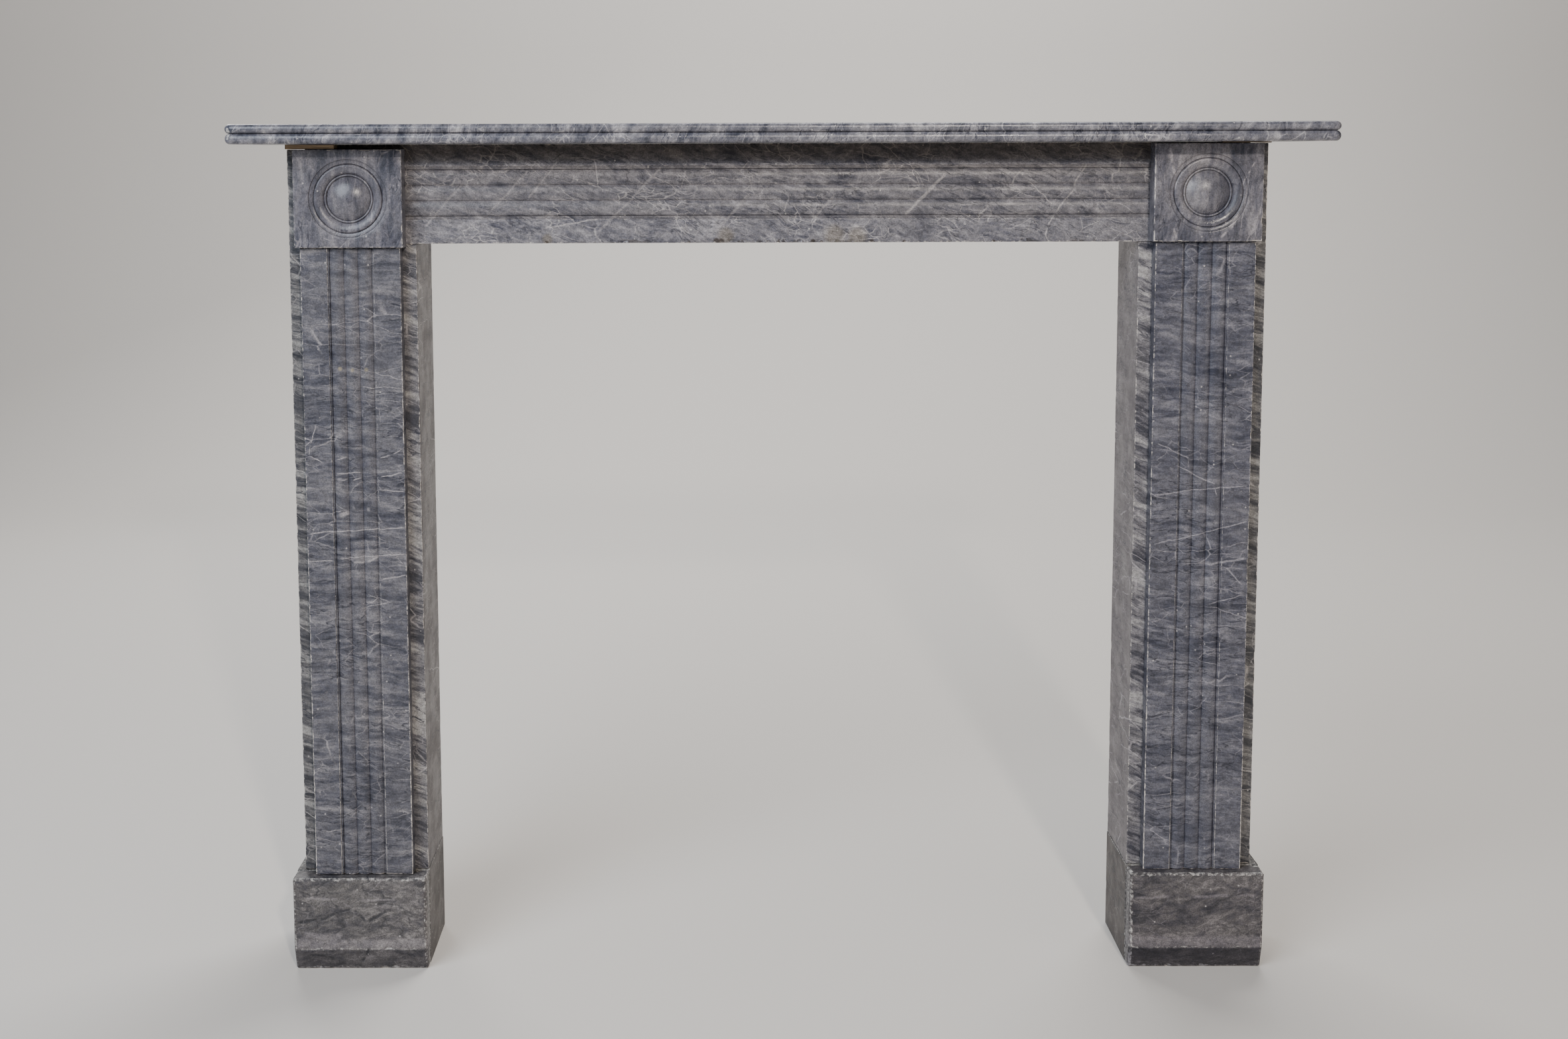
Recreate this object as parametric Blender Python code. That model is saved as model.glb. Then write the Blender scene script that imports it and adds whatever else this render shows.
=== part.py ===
# Reeded chimneypiece with turned roundels, built of marble slabs and open behind.
# Metres, +Z up. The front faces -Y. The origin is on the floor, under the middle of the shelf.

import math

import bmesh
import bpy
from mathutils import Vector

# Air left where two pieces touch
JOINT = 0.0003

# Opening and legs
OPENING_WIDTH = 1.020            # between the inner faces of the two legs
RETURN_THICKNESS = 0.025         # slabs that run back from the jamb panels
RETURN_DEPTH = 0.121
PANEL_WIDTH = 0.1412
PANEL_THICKNESS = 0.019
PANEL_LENGTH = 0.911
PANEL_LAP = 0.0055               # how far a panel laps over the front edge of each return
PANEL_REED_WIDTH = 0.0200
PANEL_REED_RISE = 0.0040         # depth of the grooves beside the reeds
PANEL_FILLET = 0.0022            # narrow sunk step between the reeds and each flat margin
PANEL_FILLET_SINK = 0.0022
ARRIS = 0.0010                   # worn edge of every slab

# Plinths
LEFT_PLINTH_HEIGHT = 0.1405
PLINTH_SLAB_THICKNESS = 0.030
PLINTH_SIDE_THICKNESS = 0.028
PLINTH_LEDGE = 0.013             # front of the plinth ahead of the panel
PLINTH_INNER_OVERHANG = 0.001
PLINTH_OUTER_OVERHANG = 0.012
PLINTH_FOOT_HEIGHT = 0.034       # lower band that slopes back to the floor
PLINTH_FOOT_SLOPE = 0.010

# Corner blocks and their turned roundels
BLOCK_HEIGHT = 0.137
BLOCK_EAR = 0.0054               # block wider than the panel, on each side
BLOCK_PROJECTION = 0.008         # block face ahead of the panel face
ROUNDEL_MARGIN = 0.0135          # least width of flat stone round the roundel
ROUNDEL_RIM_STEP = 0.0012        # square step down at the rim
ROUNDEL_BAND_WIDTH = 0.0068      # sunk band inside the rim
ROUNDEL_BAND_SINK = 0.0036
ROUNDEL_SHOULDER = 0.0030        # from the quirk up to the crest of the roll
ROUNDEL_CREST_SINK = 0.0008      # crest of the roll behind the block face
ROUNDEL_FALL = 0.0107            # from the crest in to the foot of the dome
ROUNDEL_FLOOR_SINK = 0.0085      # where the ring and dome start
ROUNDEL_RING_WIDTH = 0.0034
ROUNDEL_RING_RISE = 0.0026
DOME_HEIGHT = 0.0112

# Frieze over the opening
FRIEZE_HEIGHT = 0.140
FRIEZE_THICKNESS = 0.025
FRIEZE_BAND = 0.0386             # from the bottom edge to the first reed
FRIEZE_FILLET = 0.0046           # sunk step between the reeds and each flat band
FRIEZE_FILLET_SINK = 0.0012
FRIEZE_REED_WIDTH = 0.0220
FRIEZE_REED_RISE = 0.0044

# Shelf, and the wooden packing that levels it
LEFT_PACKING = 0.0066
RIGHT_PACKING = 0.0016
PACKING_LENGTH = 0.068
PACKING_POKE = 0.010             # packing past the outer edge of its block
PACKING_TAPER = 0.0030
PACKING_SETBACK = 0.002
SHELF_TOP_REED = 0.0126          # heights of the two half-round reeds
SHELF_LOWER_REED = 0.0143
SHELF_REED_DEPTH = 0.0062
SHELF_CORNER_RADIUS = 0.012
SHELF_NOSING = 0.0500            # shelf ahead of the block faces
SHELF_END_OVERHANG = 0.0718      # mean overhang past the outer returns
SHELF_SHIFT = 0.005              # shelf lies this far to the right of the legs

REED_COUNT = 3                   # on each jamb panel and on the frieze
REED_STEPS = 10                  # facets across one reed
ROUND_STEPS = 48                 # facets round a roundel, a multiple of eight
CORNER_STEPS = 6                 # facets round a shelf corner

# Heights, from the floor up
packing_gap = {"left": LEFT_PACKING + 2 * JOINT, "right": RIGHT_PACKING + 2 * JOINT}
leg_height = LEFT_PLINTH_HEIGHT + PANEL_LENGTH + BLOCK_HEIGHT + 2 * JOINT
shelf_underside = leg_height + packing_gap["left"]
opening_height = shelf_underside - JOINT - FRIEZE_HEIGHT
plinth_height = {
    "left": LEFT_PLINTH_HEIGHT,
    "right": LEFT_PLINTH_HEIGHT + packing_gap["left"] - packing_gap["right"],
}

# Depths, from the shelf's back forwards
block_thickness = PANEL_THICKNESS + BLOCK_PROJECTION
shelf_depth = RETURN_DEPTH + JOINT + block_thickness + SHELF_NOSING
back_y = shelf_depth / 2
return_face_y = back_y - RETURN_DEPTH
slab_back_y = return_face_y - JOINT
panel_front_y = slab_back_y - PANEL_THICKNESS
block_front_y = slab_back_y - block_thickness
plinth_front_y = panel_front_y - PLINTH_LEDGE
plinth_side_y = plinth_front_y + PLINTH_SLAB_THICKNESS + JOINT

# Widths, from the middle of the opening outwards
inner_x = OPENING_WIDTH / 2
panel_inner_x = inner_x + RETURN_THICKNESS - PANEL_LAP
panel_outer_x = panel_inner_x + PANEL_WIDTH
outer_x = panel_outer_x + RETURN_THICKNESS - PANEL_LAP
block_width = PANEL_WIDTH + 2 * BLOCK_EAR
plinth_inner_x = inner_x - PLINTH_INNER_OVERHANG
plinth_outer_x = outer_x + PLINTH_OUTER_OVERHANG
shelf_length = 2 * (outer_x + SHELF_END_OVERHANG)


def make_material(name, colour, roughness):
    material = bpy.data.materials.new(name)
    material.use_nodes = True
    shader = material.node_tree.nodes["Principled BSDF"]
    shader.inputs["Base Color"].default_value = (*colour, 1.0)
    shader.inputs["Roughness"].default_value = roughness
    shader.inputs["Metallic"].default_value = 0.0
    material.diffuse_color = (*colour, 1.0)
    return material


def make_object(name, build, material, parent=None):
    """One closed mesh object: build fills an empty bmesh with its faces."""
    shape = bmesh.new()
    build(shape)
    bmesh.ops.recalc_face_normals(shape, faces=shape.faces)
    mesh = bpy.data.meshes.new(name)
    shape.to_mesh(mesh)
    shape.free()
    mesh.shade_smooth()
    mesh.set_sharp_from_angle(angle=math.radians(28))
    mesh.materials.append(material)
    obj = bpy.data.objects.new(name, mesh)
    bpy.context.scene.collection.objects.link(obj)
    obj.parent = parent
    return obj


def prism(outline, start, end):
    """Fill a bmesh with an outline swept straight from start to end."""
    def build(shape):
        rings = []
        for offset in (start, end):
            rings.append([shape.verts.new(point + offset) for point in outline])
        shape.faces.new(rings[0])
        shape.faces.new(rings[1])
        join_rings(shape, rings)
    return build


def join_rings(shape, rings):
    """Quads between each closed ring of vertices and the next."""
    for near, far in zip(rings, rings[1:]):
        for i in range(len(near)):
            j = (i + 1) % len(near)
            shape.faces.new((near[i], near[j], far[j], far[i]))


def slab(low, high, worn=ARRIS):
    """Fill a bmesh with a box between two corners, all its edges worn."""
    def build(shape):
        centre = (Vector(low) + Vector(high)) / 2
        size = Vector(high) - Vector(low)
        bmesh.ops.create_cube(shape, size=1.0)
        for vert in shape.verts:
            vert.co = centre + Vector(vert.co[k] * size[k] for k in range(3))
        bmesh.ops.bevel(shape, geom=shape.edges[:], offset=worn, segments=1, affect="EDGES")
    return build


def reeds(start, width, rise, count=REED_COUNT, steps=REED_STEPS):
    """Points (place, sink) across a row of reeds: circular arcs that sink by rise at their edges."""
    radius = (width * width / 4 + rise * rise) / (2 * rise)
    half_angle = math.asin(width / 2 / radius)
    points = []
    for reed in range(count):
        middle = start + (reed + 0.5) * width
        for step in range(steps + 1):
            if reed > 0 and step == 0:
                continue
            angle = half_angle * (2 * step / steps - 1)
            points.append((middle + radius * math.sin(angle), radius * (1 - math.cos(angle))))
    return points


def reeded_slab(width, thickness, first_reed, reed_width, rise, fillet, fillet_sink):
    """Section (place, sink) of a slab with a reeded face: place runs across it, sink into it."""
    last_reed = first_reed + REED_COUNT * reed_width
    front = [(0.0, ARRIS), (ARRIS, 0.0), (first_reed - fillet, 0.0)]
    front += [(first_reed - fillet, fillet_sink), (first_reed, fillet_sink)]
    front += reeds(first_reed, reed_width, rise)
    front += [(last_reed, fillet_sink), (last_reed + fillet, fillet_sink)]
    front += [(last_reed + fillet, 0.0), (width - ARRIS, 0.0), (width, ARRIS)]
    back = [(width, thickness - ARRIS), (width - ARRIS, thickness), (ARRIS, thickness), (0.0, thickness - ARRIS)]
    return front + back


def roundel_profile(rim):
    """Turned section (radius, sink) from the rim to the middle of the dome."""
    points = [(rim, 0.0), (rim, ROUNDEL_RIM_STEP)]
    # Sunk band: a shallow quarter hollow from the rim's step down to the roll's quirk
    band_drop = ROUNDEL_BAND_SINK - ROUNDEL_RIM_STEP
    for step in range(1, 4):
        turn = math.pi / 2 * step / 3
        radius = rim - ROUNDEL_BAND_WIDTH * math.sin(turn)
        points.append((radius, ROUNDEL_RIM_STEP + band_drop * (1 - math.cos(turn))))
    # Roll: steep up from the quirk, level at its crest, and rounded down to the floor
    quirk = rim - ROUNDEL_BAND_WIDTH
    crest = quirk - ROUNDEL_SHOULDER
    for step in range(1, 4):
        turn = math.pi / 2 * step / 3
        radius = quirk - ROUNDEL_SHOULDER * (1 - math.cos(turn))
        points.append((radius, ROUNDEL_BAND_SINK - (ROUNDEL_BAND_SINK - ROUNDEL_CREST_SINK) * math.sin(turn)))
    for step in range(1, 6):
        turn = math.pi / 2 * step / 5
        radius = crest - ROUNDEL_FALL * math.sin(turn)
        points.append((radius, ROUNDEL_CREST_SINK + (ROUNDEL_FLOOR_SINK - ROUNDEL_CREST_SINK) * (1 - math.cos(turn))))
    # Ring: a fine half-round at the foot of the dome
    ring_start = crest - ROUNDEL_FALL
    for step in range(1, 5):
        turn = math.pi * step / 4
        radius = ring_start - ROUNDEL_RING_WIDTH * (1 - math.cos(turn)) / 2
        points.append((radius, ROUNDEL_FLOOR_SINK - ROUNDEL_RING_RISE * math.sin(turn)))
    # Dome: a cap of a sphere over the radius that is left
    base = ring_start - ROUNDEL_RING_WIDTH
    sphere = (base * base + DOME_HEIGHT * DOME_HEIGHT) / (2 * DOME_HEIGHT)
    half_angle = math.asin(base / sphere)
    for step in range(1, 7):
        angle = half_angle * (1 - step / 7)
        height = sphere * (math.cos(angle) - math.cos(half_angle))
        points.append((sphere * math.sin(angle), ROUNDEL_FLOOR_SINK - height))
    return points, (0.0, ROUNDEL_FLOOR_SINK - DOME_HEIGHT)


def corner_block(centre_x, bottom_z):
    """Fill a bmesh with a squared block whose face carries the turned roundel."""
    half_width = block_width / 2
    half_height = BLOCK_HEIGHT / 2
    middle = Vector((centre_x, 0.0, bottom_z + half_height))
    rim = min(half_width, half_height) - ROUNDEL_MARGIN
    angles = [2 * math.pi * i / ROUND_STEPS for i in range(ROUND_STEPS)]

    def square_ring(shape, inset, y):
        ring = []
        for angle in angles:
            across, up = math.cos(angle), math.sin(angle)
            reach = max(abs(across), abs(up))
            place = Vector(((half_width - inset) * across / reach, y, (half_height - inset) * up / reach))
            ring.append(shape.verts.new(middle + place))
        return ring

    def round_ring(shape, radius, y):
        ring = []
        for angle in angles:
            place = Vector((radius * math.cos(angle), y, radius * math.sin(angle)))
            ring.append(shape.verts.new(middle + place))
        return ring

    def build(shape):
        rings = [
            square_ring(shape, ARRIS, slab_back_y),
            square_ring(shape, 0.0, slab_back_y - ARRIS),
            square_ring(shape, 0.0, block_front_y + ARRIS),
            square_ring(shape, ARRIS, block_front_y),
        ]
        profile, (_, crown_sink) = roundel_profile(rim)
        for radius, sink in profile:
            rings.append(round_ring(shape, radius, block_front_y + sink))
        join_rings(shape, rings)
        shape.faces.new(rings[0])
        crown = shape.verts.new(middle + Vector((0.0, block_front_y + crown_sink, 0.0)))
        last = rings[-1]
        for i in range(len(last)):
            shape.faces.new((last[i], last[(i + 1) % len(last)], crown))
    return build


def shelf_plan(inset):
    """Plan outline of the shelf: straight back, rounded front corners, moved in by inset."""
    half = shelf_length / 2 - inset
    front = -shelf_depth / 2 + inset
    radius = SHELF_CORNER_RADIUS - inset
    outline = [(half, back_y)]
    for side in (1, -1):
        centre = (side * (half - radius), front + radius)
        for step in range(CORNER_STEPS + 1):
            turn = math.pi / 2 * step / CORNER_STEPS
            if side < 0:
                turn = math.pi / 2 - turn
            outline.append((centre[0] + side * radius * math.cos(turn), centre[1] - radius * math.sin(turn)))
    outline.append((-half, back_y))
    return outline


def shelf(shape):
    """Fill a bmesh with the shelf: its edge is two half-round reeds, one above the other."""
    rings = []
    level = shelf_underside
    for height in (SHELF_LOWER_REED, SHELF_TOP_REED):
        for step in range(REED_STEPS + 1):
            if rings and step == 0:
                continue
            turn = math.pi * step / REED_STEPS
            z = level + height * (1 - math.cos(turn)) / 2
            inset = SHELF_REED_DEPTH * (1 - math.sin(turn))
            rings.append([shape.verts.new((x, y, z)) for x, y in shelf_plan(inset)])
        level += height
    join_rings(shape, rings)
    shape.faces.new(rings[0])
    shape.faces.new(rings[-1])


def build_leg(side_name, sign, stones, parent):
    """All the slabs of one leg. sign is -1 on the left and 1 on the right of the opening."""
    plinth_top = plinth_height[side_name]
    foot = plinth_top + JOINT
    panel_top = foot + PANEL_LENGTH
    block_bottom = panel_top + JOINT
    block_top = block_bottom + BLOCK_HEIGHT
    panel_middle = sign * (panel_inner_x + panel_outer_x) / 2

    def side_slab(name, near_x, far_x, front_y, low_z, high_z, stone):
        low_x, high_x = sorted((sign * near_x, sign * far_x))
        build = slab((low_x, front_y, low_z), (high_x, back_y, high_z))
        make_object(side_name + "_" + name, build, stone, parent)

    # Plinth: a front slab with a foot that slopes back, and two side slabs behind it
    front_section = [
        (PLINTH_FOOT_SLOPE, 0.0),
        (0.0, PLINTH_FOOT_HEIGHT),
        (0.0, plinth_top - ARRIS),
        (ARRIS, plinth_top),
        (PLINTH_SLAB_THICKNESS, plinth_top),
        (PLINTH_SLAB_THICKNESS, 0.0),
    ]
    outline = [Vector((0.0, plinth_front_y + sink, z)) for sink, z in front_section]
    ends = sorted((sign * plinth_inner_x, sign * plinth_outer_x))
    front = prism(outline, Vector((ends[0], 0, 0)), Vector((ends[1], 0, 0)))
    make_object(side_name + "_plinth_front", front, stones["plinth"], parent)
    side_slab("plinth_inner_side", plinth_inner_x, plinth_inner_x + PLINTH_SIDE_THICKNESS,
              plinth_side_y, 0.0, plinth_top, stones["plinth"])
    side_slab("plinth_outer_side", plinth_outer_x - PLINTH_SIDE_THICKNESS, plinth_outer_x,
              plinth_side_y, 0.0, plinth_top, stones["plinth"])

    # Returns: the inner one stops under the frieze, the outer one runs to the block's top
    side_slab("inner_return", inner_x, inner_x + RETURN_THICKNESS,
              return_face_y, foot, opening_height - JOINT, stones["return"])
    side_slab("outer_return", outer_x - RETURN_THICKNESS, outer_x,
              return_face_y, foot, block_top, stones["return"])

    # Panel: flat margins with a row of reeds between them
    margin = (PANEL_WIDTH - REED_COUNT * PANEL_REED_WIDTH) / 2
    section = reeded_slab(PANEL_WIDTH, PANEL_THICKNESS, margin, PANEL_REED_WIDTH,
                          PANEL_REED_RISE, PANEL_FILLET, PANEL_FILLET_SINK)
    left_edge = panel_middle - PANEL_WIDTH / 2
    outline = [Vector((left_edge + place, panel_front_y + sink, 0.0)) for place, sink in section]
    panel = prism(outline, Vector((0, 0, foot)), Vector((0, 0, panel_top)))
    make_object(side_name + "_jamb_panel", panel, stones["panel"], parent)

    make_object(side_name + "_corner_block", corner_block(panel_middle, block_bottom), stones["block"], parent)
    build_packing(side_name, sign, panel_middle, block_top, stones["packing"], parent)


def build_packing(side_name, sign, block_x, block_top, wood, parent):
    """Wood between block and shelf: level on top, and thinner towards the opening."""
    outer = block_x + sign * (block_width / 2 + PACKING_POKE)
    inner = outer - sign * PACKING_LENGTH
    low = block_top + JOINT
    high = shelf_underside - JOINT
    thinned = min(PACKING_TAPER, (high - low) / 2)
    front = block_front_y + PACKING_SETBACK
    section = [(outer, low), (outer, high), (inner, high), (inner, low + thinned)]
    outline = [Vector((x, 0.0, z)) for x, z in section]
    build = prism(outline, Vector((0, front, 0)), Vector((0, slab_back_y, 0)))
    name = "left_packing_wedge" if side_name == "left" else "right_packing_strip"
    make_object(name, build, wood, parent)


def build_frieze(stone, parent):
    """Slab over the opening, behind both blocks: a lower band, a row of reeds and an upper band."""
    reach = outer_x - RETURN_THICKNESS - JOINT
    section = reeded_slab(FRIEZE_HEIGHT, FRIEZE_THICKNESS, FRIEZE_BAND, FRIEZE_REED_WIDTH,
                          FRIEZE_REED_RISE, FRIEZE_FILLET, FRIEZE_FILLET_SINK)
    outline = [Vector((0.0, return_face_y + sink, opening_height + place)) for place, sink in section]
    make_object("frieze", prism(outline, Vector((-reach, 0, 0)), Vector((reach, 0, 0))), stone, parent)


def main():
    for obj in list(bpy.data.objects):
        bpy.data.objects.remove(obj)

    stones = {
        "shelf": make_material("shelf_marble", (0.22, 0.22, 0.24), 0.32),
        "frieze": make_material("frieze_marble", (0.20, 0.19, 0.20), 0.38),
        "block": make_material("block_marble", (0.14, 0.14, 0.155), 0.32),
        "panel": make_material("panel_marble", (0.14, 0.136, 0.155), 0.35),
        "return": make_material("return_marble", (0.16, 0.15, 0.15), 0.42),
        "plinth": make_material("plinth_marble", (0.12, 0.11, 0.112), 0.50),
        "packing": make_material("packing_wood", (0.16, 0.10, 0.055), 0.80),
    }
    # The legs and frieze hang on one empty, left of the shelf's middle
    surround = bpy.data.objects.new("surround", None)
    bpy.context.scene.collection.objects.link(surround)
    surround.location.x = -SHELF_SHIFT

    build_leg("left", -1, stones, surround)
    build_leg("right", 1, stones, surround)
    build_frieze(stones["frieze"], surround)
    make_object("mantel_shelf", shelf, stones["shelf"])


main()
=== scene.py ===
import math

import bpy
import numpy as np
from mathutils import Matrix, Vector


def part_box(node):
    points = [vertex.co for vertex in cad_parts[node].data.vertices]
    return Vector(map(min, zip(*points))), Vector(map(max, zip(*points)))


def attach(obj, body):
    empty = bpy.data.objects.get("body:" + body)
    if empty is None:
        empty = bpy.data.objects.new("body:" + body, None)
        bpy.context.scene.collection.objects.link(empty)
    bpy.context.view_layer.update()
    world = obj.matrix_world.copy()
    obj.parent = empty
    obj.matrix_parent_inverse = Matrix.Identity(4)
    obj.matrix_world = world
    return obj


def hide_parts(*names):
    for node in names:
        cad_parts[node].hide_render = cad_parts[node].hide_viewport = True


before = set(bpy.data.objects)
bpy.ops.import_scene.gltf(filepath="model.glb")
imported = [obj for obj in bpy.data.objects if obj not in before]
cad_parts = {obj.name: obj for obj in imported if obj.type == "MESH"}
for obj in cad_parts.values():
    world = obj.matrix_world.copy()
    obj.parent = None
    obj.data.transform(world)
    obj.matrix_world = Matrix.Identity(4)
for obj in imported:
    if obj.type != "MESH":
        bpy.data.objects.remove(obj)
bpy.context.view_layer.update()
print("frame loaded:", len(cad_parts), "nodes")

# helpers for the shapes, used by every stone

noiseTable = np.random.default_rng(11).random(8192)
latticeKeys = np.array([73856093, 19349663, 83492791])   # large primes, so that neighbours draw unlike values
seedShift = 17.3                  # cells between the noises of two seeds
sharpAngle = math.radians(32)     # faces that meet at more than this keep a crisp edge
quarterTurn = np.array([0, 30, 60, 90]) * math.pi / 180
edgeRows = {"room": 4.0, "guard": 1.6, "middleWear": 0.45}   # in times of the reach; wear half way out
# the habits below also say how much painted shade a chip gets, none unless a slab asks for it
wearHabits = {                    # how a slab wears, unless its own values say otherwise
    "chipRange": (0.55, 0.85), "broadRange": (0.3, 0.7), "broadCells": 7, "arrisPale": 0.65, "chipPale": 0.6,
    "chipShade": 0.0, "rubShare": 0.25, "rubCell": 0.02, "lowWear": 0.0, "lowRange": (0.60, 0.12),
    "sideRange": (0.5, 0.9), "chipPlace": lambda points: 1.0,
}


def smooth(low, high, value):
    # 0 below low, 1 above high, and s*s*(3-2s) between them
    s = np.clip((value - low) / (high - low), 0, 1)
    return s * s * (3 - 2 * s)


def stoneNoise(points, cell, seed):
    # random values on a cubic lattice of the given cell, blended between a cell's eight corners
    scaled = points / cell + seed * seedShift
    base = np.floor(scaled).astype(np.int64)
    part = scaled - base
    part = part * part * (3 - 2 * part)
    total = np.zeros(len(points))
    for corner in range(8):
        step = np.array([corner & 1, corner >> 1 & 1, corner >> 2 & 1])
        key = (base + step) @ latticeKeys
        weight = np.prod(np.where(step == 1, part, 1 - part), axis=1)
        total += weight * noiseTable[key % len(noiseTable)]
    return total


def makeMesh(name, points, quads, caps, marks, material):
    # one closed mesh from a grid of quads and its end caps. Its volume is the sum of a . (b x c) over
    # its triangles, and where that comes out negative every face is turned round
    a, b, c, d = (points[quads[:, k]] for k in range(4))
    volume = np.sum(a * np.cross(b, c)) + np.sum(a * np.cross(c, d))
    for cap in caps:
        ring = points[np.asarray(cap)]
        fan = np.cross(ring[1:-1] - ring[0], ring[2:] - ring[0])
        volume += np.sum(ring[0] * fan.sum(axis=0))
    faces = quads[:, ::-1] if volume < 0 else quads
    ends = [list(reversed(cap)) if volume < 0 else list(cap) for cap in caps]
    mesh = bpy.data.meshes.new(name)
    mesh.from_pydata(points.tolist(), [], faces.tolist() + ends)
    for mark, values in marks.items():
        mesh.attributes.new(mark, "FLOAT", "POINT").data.foreach_set("value", values.astype(np.float32))
    mesh.materials.append(material)
    mesh.shade_smooth()
    mesh.set_sharp_from_angle(angle=sharpAngle)
    mesh.update()
    piece = bpy.data.objects.new(name, mesh)
    bpy.context.scene.collection.objects.link(piece)
    return piece


def gridQuads(rows, columns, closed=True):
    # quads between neighbouring rows of a grid; closed joins the last column to the first
    i = np.arange(rows - 1)[:, None]
    j = np.arange(columns if closed else columns - 1)[None, :]
    k = (j + 1) % columns
    quads = [i * columns + j, i * columns + k, (i + 1) * columns + k, (i + 1) * columns + j]
    return np.stack(quads, -1).reshape(-1, 4)


def endCaps(rows, columns):
    # the first and the last row of a closed grid, each as one flat face
    return [list(range(columns)), list(range((rows - 1) * columns, rows * columns))[::-1]]


def dress(piece, node):
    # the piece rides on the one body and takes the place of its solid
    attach(piece, "root")
    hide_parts(node)


class Section:
    # closed outline of a slab, with how worn each of its points is and how much painted shade it gets
    def __init__(self):
        self.points, self.wear, self.groove = [], [], []

    def raw(self, x, y, wear=0.0, groove=0.0):
        # adds one point, or a whole curve where arrays are given
        x, y, wear, groove = np.broadcast_arrays(*np.atleast_1d(x, y, wear, groove))
        self.points.append(np.stack([x, y], -1))
        self.wear.append(wear)
        self.groove.append(groove)

    def worn(self, before, corner, after, radius, reach, shadeBefore=0.0, share=1.0, shadeAfter=0.0):
        # a rounded corner = corner + (1-t)^2 * radius back along the outline + t^2 * radius onward, between
        # rows of points that keep the wear within reach of it
        corner = np.array(corner, float)
        inward, onward = np.array(before, float) - corner, np.array(after, float) - corner
        roomBefore, roomAfter = np.linalg.norm(inward), np.linalg.norm(onward)
        inward, onward = inward / roomBefore, onward / roomAfter
        # a guard row keeps the flat beside a chipped corner level where there is room for one
        away = np.array([reach * edgeRows["guard"], reach, (radius + reach) / 2])[:, None]
        awayWear = np.array([0.0, 0.0, edgeRows["middleWear"]]) * share
        skipped = 0 if roomBefore > edgeRows["room"] * reach else 1
        kept = 3 if roomAfter > edgeRows["room"] * reach else 2
        t = np.array([0, 0.33, 0.67, 1])[:, None]
        bend = corner + ((1 - t) ** 2 * inward * radius + t * t * onward * radius)
        # the rows before and after the corner carry the painted shade given for each side
        self.raw(*(corner + inward * away)[skipped:].T, awayWear[skipped:], shadeBefore)
        self.raw(*bend.T, share, np.array([shadeBefore, shadeAfter, shadeAfter, shadeAfter]))
        self.raw(*(corner + onward * away)[::-1][:kept].T, awayWear[::-1][:kept], shadeAfter)

    def finish(self):
        # outward normal = the mean of the directions on both sides of a point, turned by a right angle
        points = np.concatenate(self.points)
        after = np.roll(points, -1, axis=0) - points
        after /= np.maximum(np.linalg.norm(after, axis=1), 1e-9)[:, None]
        along = after + np.roll(after, 1, axis=0)
        along /= np.maximum(np.linalg.norm(along, axis=1), 1e-9)[:, None]
        area = np.sum(points[:, 0] * np.roll(points[:, 1], -1) - points[:, 1] * np.roll(points[:, 0], -1))
        outward = np.stack([along[:, 1], -along[:, 0]], -1) * np.sign(area)
        return points, outward, np.concatenate(self.wear), np.concatenate(self.groove)


def cornerSection(corners, radius, reach):
    # the outline of a slab with four worn corners
    section = Section()
    for k in range(4):
        section.worn(corners[k - 1], corners[k], corners[(k + 1) % 4], radius, reach)
    return section


def stations(start, end, step, radius, reach):
    # places along a sweep, how far the outline draws in there, and how worn it is: over a quarter turn at
    # each end place = radius * (1 - cos turn) and inset = radius * (1 - sin turn), and the cap's own rim
    # is drawn in a little more
    place = np.concatenate([[0, 0], radius * (1 - np.cos(quarterTurn)), [(radius + reach) / 2, reach]])
    inset = np.concatenate([[1.2 * radius + 0.0004, 1.1 * radius], radius * (1 - np.sin(quarterTurn)), [0, 0]])
    wear = np.array([0, 0.6, 1, 1, 1, 1, 0.3, 0])
    middle = np.linspace(start + reach, end - reach, max(3, int((end - start) / step)))[1:-1]
    place = np.concatenate([start + place, middle, end - place[::-1]])
    inset = np.concatenate([inset, middle * 0, inset[::-1]])
    wear = np.concatenate([wear, middle * 0, wear[::-1]])
    return place, inset, wear


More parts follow.
